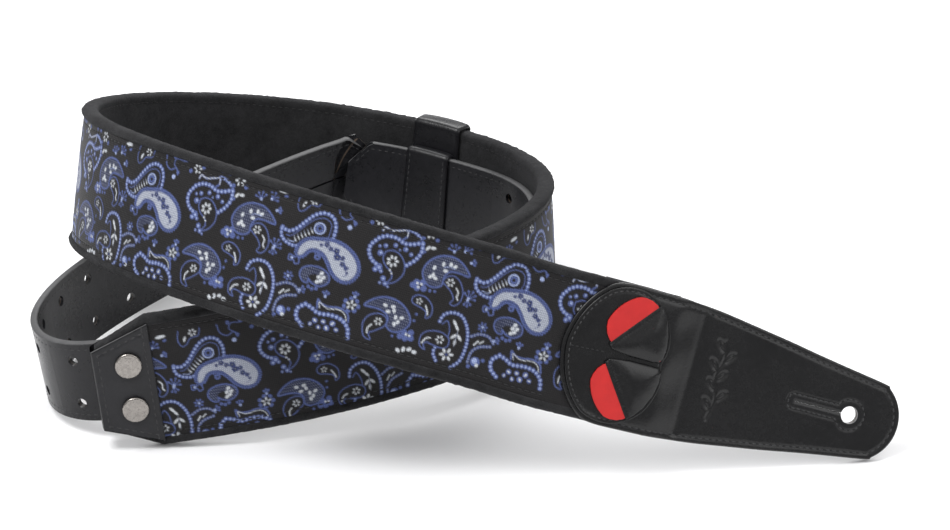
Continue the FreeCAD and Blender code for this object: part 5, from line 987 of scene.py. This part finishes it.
stitches("patch_stitch", path_at(PATCH, 1.7, patch_top, TIP), N_TIP, M_THREADT, length=1.8, gap=0.8, rad=0.36)
PK = {"upper": [(-139.6, 4.4), (-130.6, 15.1), (-121.4, 25.9), (-118.9, 23.6), (-116.2, 19.3), (-114.2, 14.0), (-113.3, 8.6), (-113.7, 3.4), (-115.2, 1.3), (-118.5, 0.75), (-128.0, 0.9), (-137.5, 2.2)],
      "lower": [(-139.2, -4.0), (-137.2, -1.9), (-128.0, -0.6), (-118.5, -0.55), (-114.6, -0.8), (-112.8, -2.6), (-112.6, -7.4), (-113.7, -13.4), (-116.4, -19.0), (-119.9, -23.4), (-123.0, -26.4), (-131.2, -15.2)]}
MOUTH = {"upper": ((-139.6, 4.4), (-121.4, 25.9)), "lower": ((-139.2, -4.0), (-123.0, -26.4))}
for w_ in ("upper", "lower"):
    out = np.array(PK[w_])
    a, b = MOUTH[w_]
    def pocket_top(u, v, d, a=a, b=b):
        md = seg_dist(np.stack([u, v], -1), np.array([a, b]), False)       # distance from the mouth
        edge = sm((d - 0.0) / 5.0)
        puff = 1.25 * edge * (0.55 + 0.45 * sm(md / 6.0))
        drop = sm((md - 5) / 9) * (1 - np.sqrt(np.clip(1 - (1 - np.clip(d / 4.5, 0, 1)) ** 2, 0, 1)))
        return 7.62 + 1.25 * (0.35 + 0.65 * sm(md / 9.0)) * np.sin(np.clip(d / 9.0, 0, 1) * math.pi / 2) - 0.25 * np.exp(-((md - 1.6) / 0.45) ** 2) - 1.15 * drop
    def pocket_bot(u, v, d, a=a, b=b):
        md = seg_dist(np.stack([u, v], -1), np.array([a, b]), False)
        return np.where(d < 1.6, np.where(md < 2.0, 7.36, 6.2), 7.36)
    ol = smooth_closed(out, 160) if False else resample(out, 0.6, True)[0]
    plate(w_ + "_pocket", TIP, ol, pocket_top, 1.2, 0.55, M_TAB, step=0.8, replaces=(w_ + "_pick_pocket",), bottom=pocket_bot, seg=0.6)
# seam between the pockets
seam = smooth_open([(-156.2, -0.6), (-148.0, -0.2), (-140.0, 0.2), (-128.0, 0.15), (-114.6, 0.3)], 0.7)
stitches("patch_seam", local(TIP, np.c_[seam[seam[:, 0] < -139.5], np.full((seam[:, 0] < -139.5).sum(), 6.25)]), N_TIP, M_THREAD, length=1.6, gap=0.7, rad=0.28)
# ---------------------------------------------------------------- rear end cap
CAP = resample(np.array([(-1.7, 19.2), (24.6, 28.9), (24.6, -28.9), (-1.7, -19.2)]), 0.8, True)[0]
def cap_top(u, v, d):
    hd = np.minimum(np.hypot(u - 13.7, v - 10.8), np.hypot(u - 13.7, v + 10.8))
    return 4.75 + 0.35 * sm(d / 4.0) + groove(d, 2.7, 0.5, 0.26) - 0.25 * np.exp(-((hd - 6.2) / 1.6) ** 2) + 0.06 * np.sin(u * 0.5 + v * 0.2)
cutc = []
for sy in (1, -1):
    cutc.append(prism_cutter(END, [(13.7 + 2.45 * math.cos(t), sy * 10.8 + 2.45 * math.sin(t)) for t in np.linspace(0, 2 * math.pi, 24, endpoint=False)], -12, 12))
plate("cap_front", END, CAP, cap_top, 1.3, 0.6, M_CAP, step=1.0, cut=cutc, replaces=("end_cap_front",), bottom=lambda u, v, d: np.full(len(u), 3.58))
plate("cap_back", END, CAP, lambda u, v, d: 4.6 + 0.15 * sm(d / 4) + groove(d, 2.7, 0.5, 0.2), 1.1, 0.5, M_CAP, step=1.4, flip=True, cut=cutc, replaces=("end_cap_back",), bottom=lambda u, v, d: np.full(len(u), 3.6))
CP = np.array([(24.6, 28.9), (-1.7, 19.2), (-1.7, -19.2), (24.6, -28.9)])
cin = inset(CAP, 2.7); cin = np.vstack([resample(cin, 0.8, True)[0], resample(cin, 0.8, True)[0][:1]])
zc = cap_top(cin[:, 0].copy(), cin[:, 1].copy(), np.full(len(cin), 2.7))
stitches("cap_stitch", local(END, np.c_[cin, zc + 0.12]), N_END, M_THREADT, length=2.4, gap=1.1, rad=0.4)
# the cap's end wall: leather folded round the padding's end
wv = []
for a in np.linspace(-19.0, 19.0, 40):
    for b in np.linspace(-4.7, 4.85, 13):
        t = (b - 0.05) / 4.8
        wv.append((-0.9 - 1.3 * math.sqrt(max(0.0, 1 - t * t)), a, b))
mesh_obj("cap_end_wall", local(END, np.array(wv)), grid_faces(40, 13), M_CAP)
# side edges of the cap in the pale edge colour: a painted highlight along the rim
for sg in (1, -1):
    wv = []
    for u in np.linspace(-1.7, 24.4, 30):
        y = 19.2 + (28.9 - 19.2) * (u + 1.7) / 26.3
        for b in np.linspace(3.6, 4.75, 4):
            wv.append((u, sg * (y + 0.1 * math.sin((b - 3.6) / 1.15 * math.pi)), b))
    mesh_obj("cap_side_" + ("upper" if sg > 0 else "lower"), local(END, np.array(wv)), grid_faces(30, 4), M_EDGE_PAINTED_HIGHLIGHT)

# ---------------------------------------------------------------- tail: stitches and pale edges (painted highlight) on the imported leathers
s_b, s_a = TAIL_ROUTE[0][0], TAIL_ROUTE[-1][0]
q = np.arange(s_b + 3.0, s_a - 3.0, 1.0)
def tail_in(s):
    """Half width less the end chamfers."""
    e = np.minimum(s - s_b, s_a - s)
    return np.minimum(19.5, 8.0 + 12.1 * e / 9.5)
for sg, nm in ((1, "upper"), (-1, "lower")):
    for face, fn in ((1.62, "out"), (-1.62, "in")):
        nn = tail.normal(q) * (1 if face > 0 else -1)
        stitches("tail_stitch_%s_%s" % (fn, nm), tail.point(q, sg * (tail_in(q) - 2.9), face), nn, M_THREADG, length=2.2, gap=1.0, rad=0.3)
    # rounded cut edge, coloured pale grey as a painted highlight along the rim
    ev = []
    qq = np.arange(s_b, s_a + 0.01, 2.0)
    hw = tail_in(qq)
    sec = [(-0.25, 1.66), (0.12, 1.5), (0.32, 0.9), (0.36, 0.0), (0.32, -0.9), (0.12, -1.5), (-0.25, -1.66)]
    ev = np.stack([tail.point(qq, sg * (hw + a), b) for a, b in sec], 1)
    fs = grid_faces(len(qq), len(sec))
    o = mesh_obj("tail_edge_" + nm, ev.reshape(-1, 3), fs if sg < 0 else fs[:, ::-1], M_EDGE_PAINTED_HIGHLIGHT)

# ---------------------------------------------------------------- keeper
def ring_piece(name, curve, sa, sb, cb, ha, hb, th, mat, replaces, puff=0.25):
    sq = np.linspace(sa, sb, 30)
    def rr(a, b, r, k=5):
        pts = []
        for cx, cy, a0 in ((a - r, b - r, 0), (-(a - r), b - r, 90), (-(a - r), -(b - r), 180), (a - r, -(b - r), 270)):
            for t in np.linspace(0, 90, k):
                an = math.radians(a0 + t); pts.append((cx + r * math.cos(an), cb + cy + r * math.sin(an)))
        # add points along the long sides
        out = []
        for i, p in enumerate(pts):
            q = pts[(i + 1) % len(pts)]; out.append(p)
            L = math.hypot(q[0] - p[0], q[1] - p[1])
            for j in range(1, int(L / 4.0)):
                t = j / int(L / 4.0); out.append((p[0] + (q[0] - p[0]) * t, p[1] + (q[1] - p[1]) * t))
        return np.array(out)
    # a closed tube of leather: outer surface rounded at its two rims
    prof = [(0.0, 0.25), (0.02, 0.6), (0.06, 0.9), (0.12, 1.0), (0.3, 1.0 + puff * 0.5), (0.5, 1.0 + puff * 0.7), (0.7, 1.0 + puff * 0.5), (0.88, 1.0), (0.94, 0.9), (0.98, 0.6), (1.0, 0.25)]
    inner = rr(ha, hb, min(1.2, hb * 0.8))
    V = []
    base_t = np.linspace(0, 1, 25)
    pt = np.interp(base_t, [p[0] for p in prof], [p[1] for p in prof])
    rows = [(sa + (sb - sa) * t, th * h) for t, h in zip(base_t, pt)]
    gro = lambda t: -0.16 * (np.exp(-((t - 0.11) / 0.02) ** 2) + np.exp(-((t - 0.89) / 0.02) ** 2))
    nrm = inner - np.array([0, cb]); 
    def off(P, d):
        a, b = np.roll(P, 1, 0), np.roll(P, -1, 0)
        t = b - a; t /= np.linalg.norm(t, axis=1)[:, None]
        nn = np.stack([t[:, 1], -t[:, 0]], -1)
        return P + nn * d
    for t, (s, h) in zip(base_t, rows):
        P = off(inner, h + gro(t)); V.append(curve.point(s, P[:, 0], P[:, 1]))
    for s in (sb, sa):
        V.append(curve.point(s, inner[:, 0], inner[:, 1]))
    V = np.array(V); n, m = V.shape[:2]
    base = grid_faces(n, m, True).tolist()
    last = [[(n - 1) * m + j, (n - 1) * m + (j + 1) % m, (j + 1) % m, j] for j in range(m)]
    o = mesh_obj(name, V.reshape(-1, 3), [f[::-1] for f in base + last], mat, body="keeper", replaces=replaces)
    bm = bmesh.new(); bm.from_mesh(o.data); bmesh.ops.recalc_face_normals(bm, faces=bm.faces); bm.to_mesh(o.data); bm.free()
    return o
ring_piece("keeper_band", belt, 331.0, 357.0, 0.1, 32.7, 4.5, 1.5, M_KEEP, ("keeper_loop",))
ring_piece("keeper_inner_band", belt, 331.6, 356.4, -9.9, 20.5, 2.35, 1.3, M_KEEP, ("keeper_sleeve",))
for k, s in enumerate((333.9, 354.1)):
    aa = np.linspace(-19.0, 19.0, 60)
    stitches("keeper_stitch_in_%d" % k, belt.point(np.full(60, s), aa, -9.9 - 2.35 - 1.34), -belt.normal([s] * 60), M_THREADG, body="keeper", length=2.0, gap=1.0, rad=0.3)
    aa = np.linspace(-31.0, 31.0, 90)
    stitches("keeper_stitch_out_%d" % k, belt.point(np.full(90, s), aa, 0.1 + 4.5 + 1.56), belt.normal([s] * 90), M_THREADG, body="keeper", length=2.0, gap=1.0, rad=0.3)
# ---------------------------------------------------------------- studs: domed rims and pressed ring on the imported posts
for w_, sy in (("upper", 1), ("lower", -1)):
    z0 = 5.05 + 0.05 + 1.3
    V = []
    prof = [(0.0, 0.30), (1.6, 0.29), (3.2, 0.24), (4.4, 0.12), (4.7, 0.05), (5.0, 0.13), (5.5, 0.08), (5.85, -0.2), (6.0, -0.6), (5.95, -1.25), (5.6, -1.45)]
    for r, z in prof:
        for t in np.linspace(0, 2 * math.pi, 64, endpoint=False):
            V.append((13.7 + r * math.cos(t), sy * 10.8 + r * math.sin(t), z0 + z))
    fs = grid_faces(len(prof), 64, True)
    o = mesh_obj("stud_cap_" + w_, local(END, np.array(V)), fs, M_NICKEL, body="stud_" + w_)
    bm = bmesh.new(); bm.from_mesh(o.data); bmesh.ops.remove_doubles(bm, verts=bm.verts, dist=1e-6); bmesh.ops.recalc_face_normals(bm, faces=bm.faces); bm.to_mesh(o.data); bm.free()
    if o.data.polygons[0].normal.dot(Vector(N_END)) < 0:
        o.data.flip_normals()


# ---------------------------------------------------------------- stage, lights, camera
def stage_mat():
    m = NT("floor_pale"); v = m.coord("Object")
    m.l(m.ramp(m.noise(v, 3, 2), [(0.3, (0.86, 0.86, 0.87, 1)), (0.7, (0.88, 0.88, 0.885, 1))]), m.p.inputs["Base Color"])
    m.set(Roughness=0.9, Specular_IOR_Level=0.1)
    return m.m
me = bpy.data.meshes.new("floor"); me.from_pydata([(-6, -6, -0.0004), (6, -6, -0.0004), (6, 9, -0.0004), (-6, 9, -0.0004)], [], [(0, 1, 2, 3)]); me.materials.append(stage_mat())
floor = bpy.data.objects.new("floor", me); bpy.context.scene.collection.objects.link(floor)

world = bpy.data.worlds.new("studio"); bpy.context.scene.world = world; world.use_nodes = True
wn = world.node_tree
bg = wn.nodes["Background"]; bg.inputs[0].default_value = (1.0, 1.0, 1.0, 1); bg.inputs[1].default_value = 0.92
wc = wn.nodes.new("ShaderNodeTexCoord"); wx = wn.nodes.new("ShaderNodeSeparateXYZ"); wr = wn.nodes.new("ShaderNodeValToRGB")
wn.links.new(wc.outputs["Generated"], wx.inputs[0]); wn.links.new(wx.outputs["Z"], wr.inputs[0]); wn.links.new(wr.outputs[0], bg.inputs[0])
wr.color_ramp.elements[0].position = 0.0; wr.color_ramp.elements[0].color = (0.42, 0.42, 0.43, 1)
wr.color_ramp.elements[1].position = 0.75; wr.color_ramp.elements[1].color = (1.0, 1.0, 1.0, 1)
e = wr.color_ramp.elements.new(0.3); e.color = (0.5, 0.5, 0.51, 1)

def area_light(name, loc, target, size, power, col=(1, 1, 1), size_y=None):
    d = bpy.data.lights.new(name, "AREA"); d.energy = power; d.size = size; d.color = col
    if size_y: d.shape = "RECTANGLE"; d.size_y = size_y
    o = bpy.data.objects.new(name, d); bpy.context.scene.collection.objects.link(o)
    o.location = loc
    o.rotation_euler = (Vector(target) - Vector(loc)).to_track_quat("-Z", "Y").to_euler()
    return o
area_light("key", (-0.75, -0.35, 1.5), (0, 0, 0.05), 0.7, 19.0)
area_light("fill", (1.1, -1.0, 1.1), (0, 0, 0.05), 1.2, 7.0)
area_light("back", (0.15, 1.2, 1.1), (0, 0, 0.05), 1.0, 15.0)

cd = bpy.data.cameras.new("cam"); cam = bpy.data.objects.new("cam", cd); bpy.context.scene.collection.objects.link(cam)
fwd = Vector((0.064557736, 0.883328251, -0.464288164)); right = Vector((0.997571353, -0.069316060, 0.006832210)); up = right.cross(fwd)
M = Matrix(((right.x, up.x, -fwd.x, -0.12781660), (right.y, up.y, -fwd.y, -1.89536676), (right.z, up.z, -fwd.z, 1.03904836), (0, 0, 0, 1)))
cam.matrix_world = M
cd.sensor_fit = "HORIZONTAL"; cd.sensor_width = 36.0; cd.lens = 4667.843 / 950 * 36.0
cd.clip_end = 50
bpy.context.scene.camera = cam
bpy.context.scene.view_settings.view_transform = "Standard"

for c in CUTTERS:
    bpy.data.objects.remove(c)
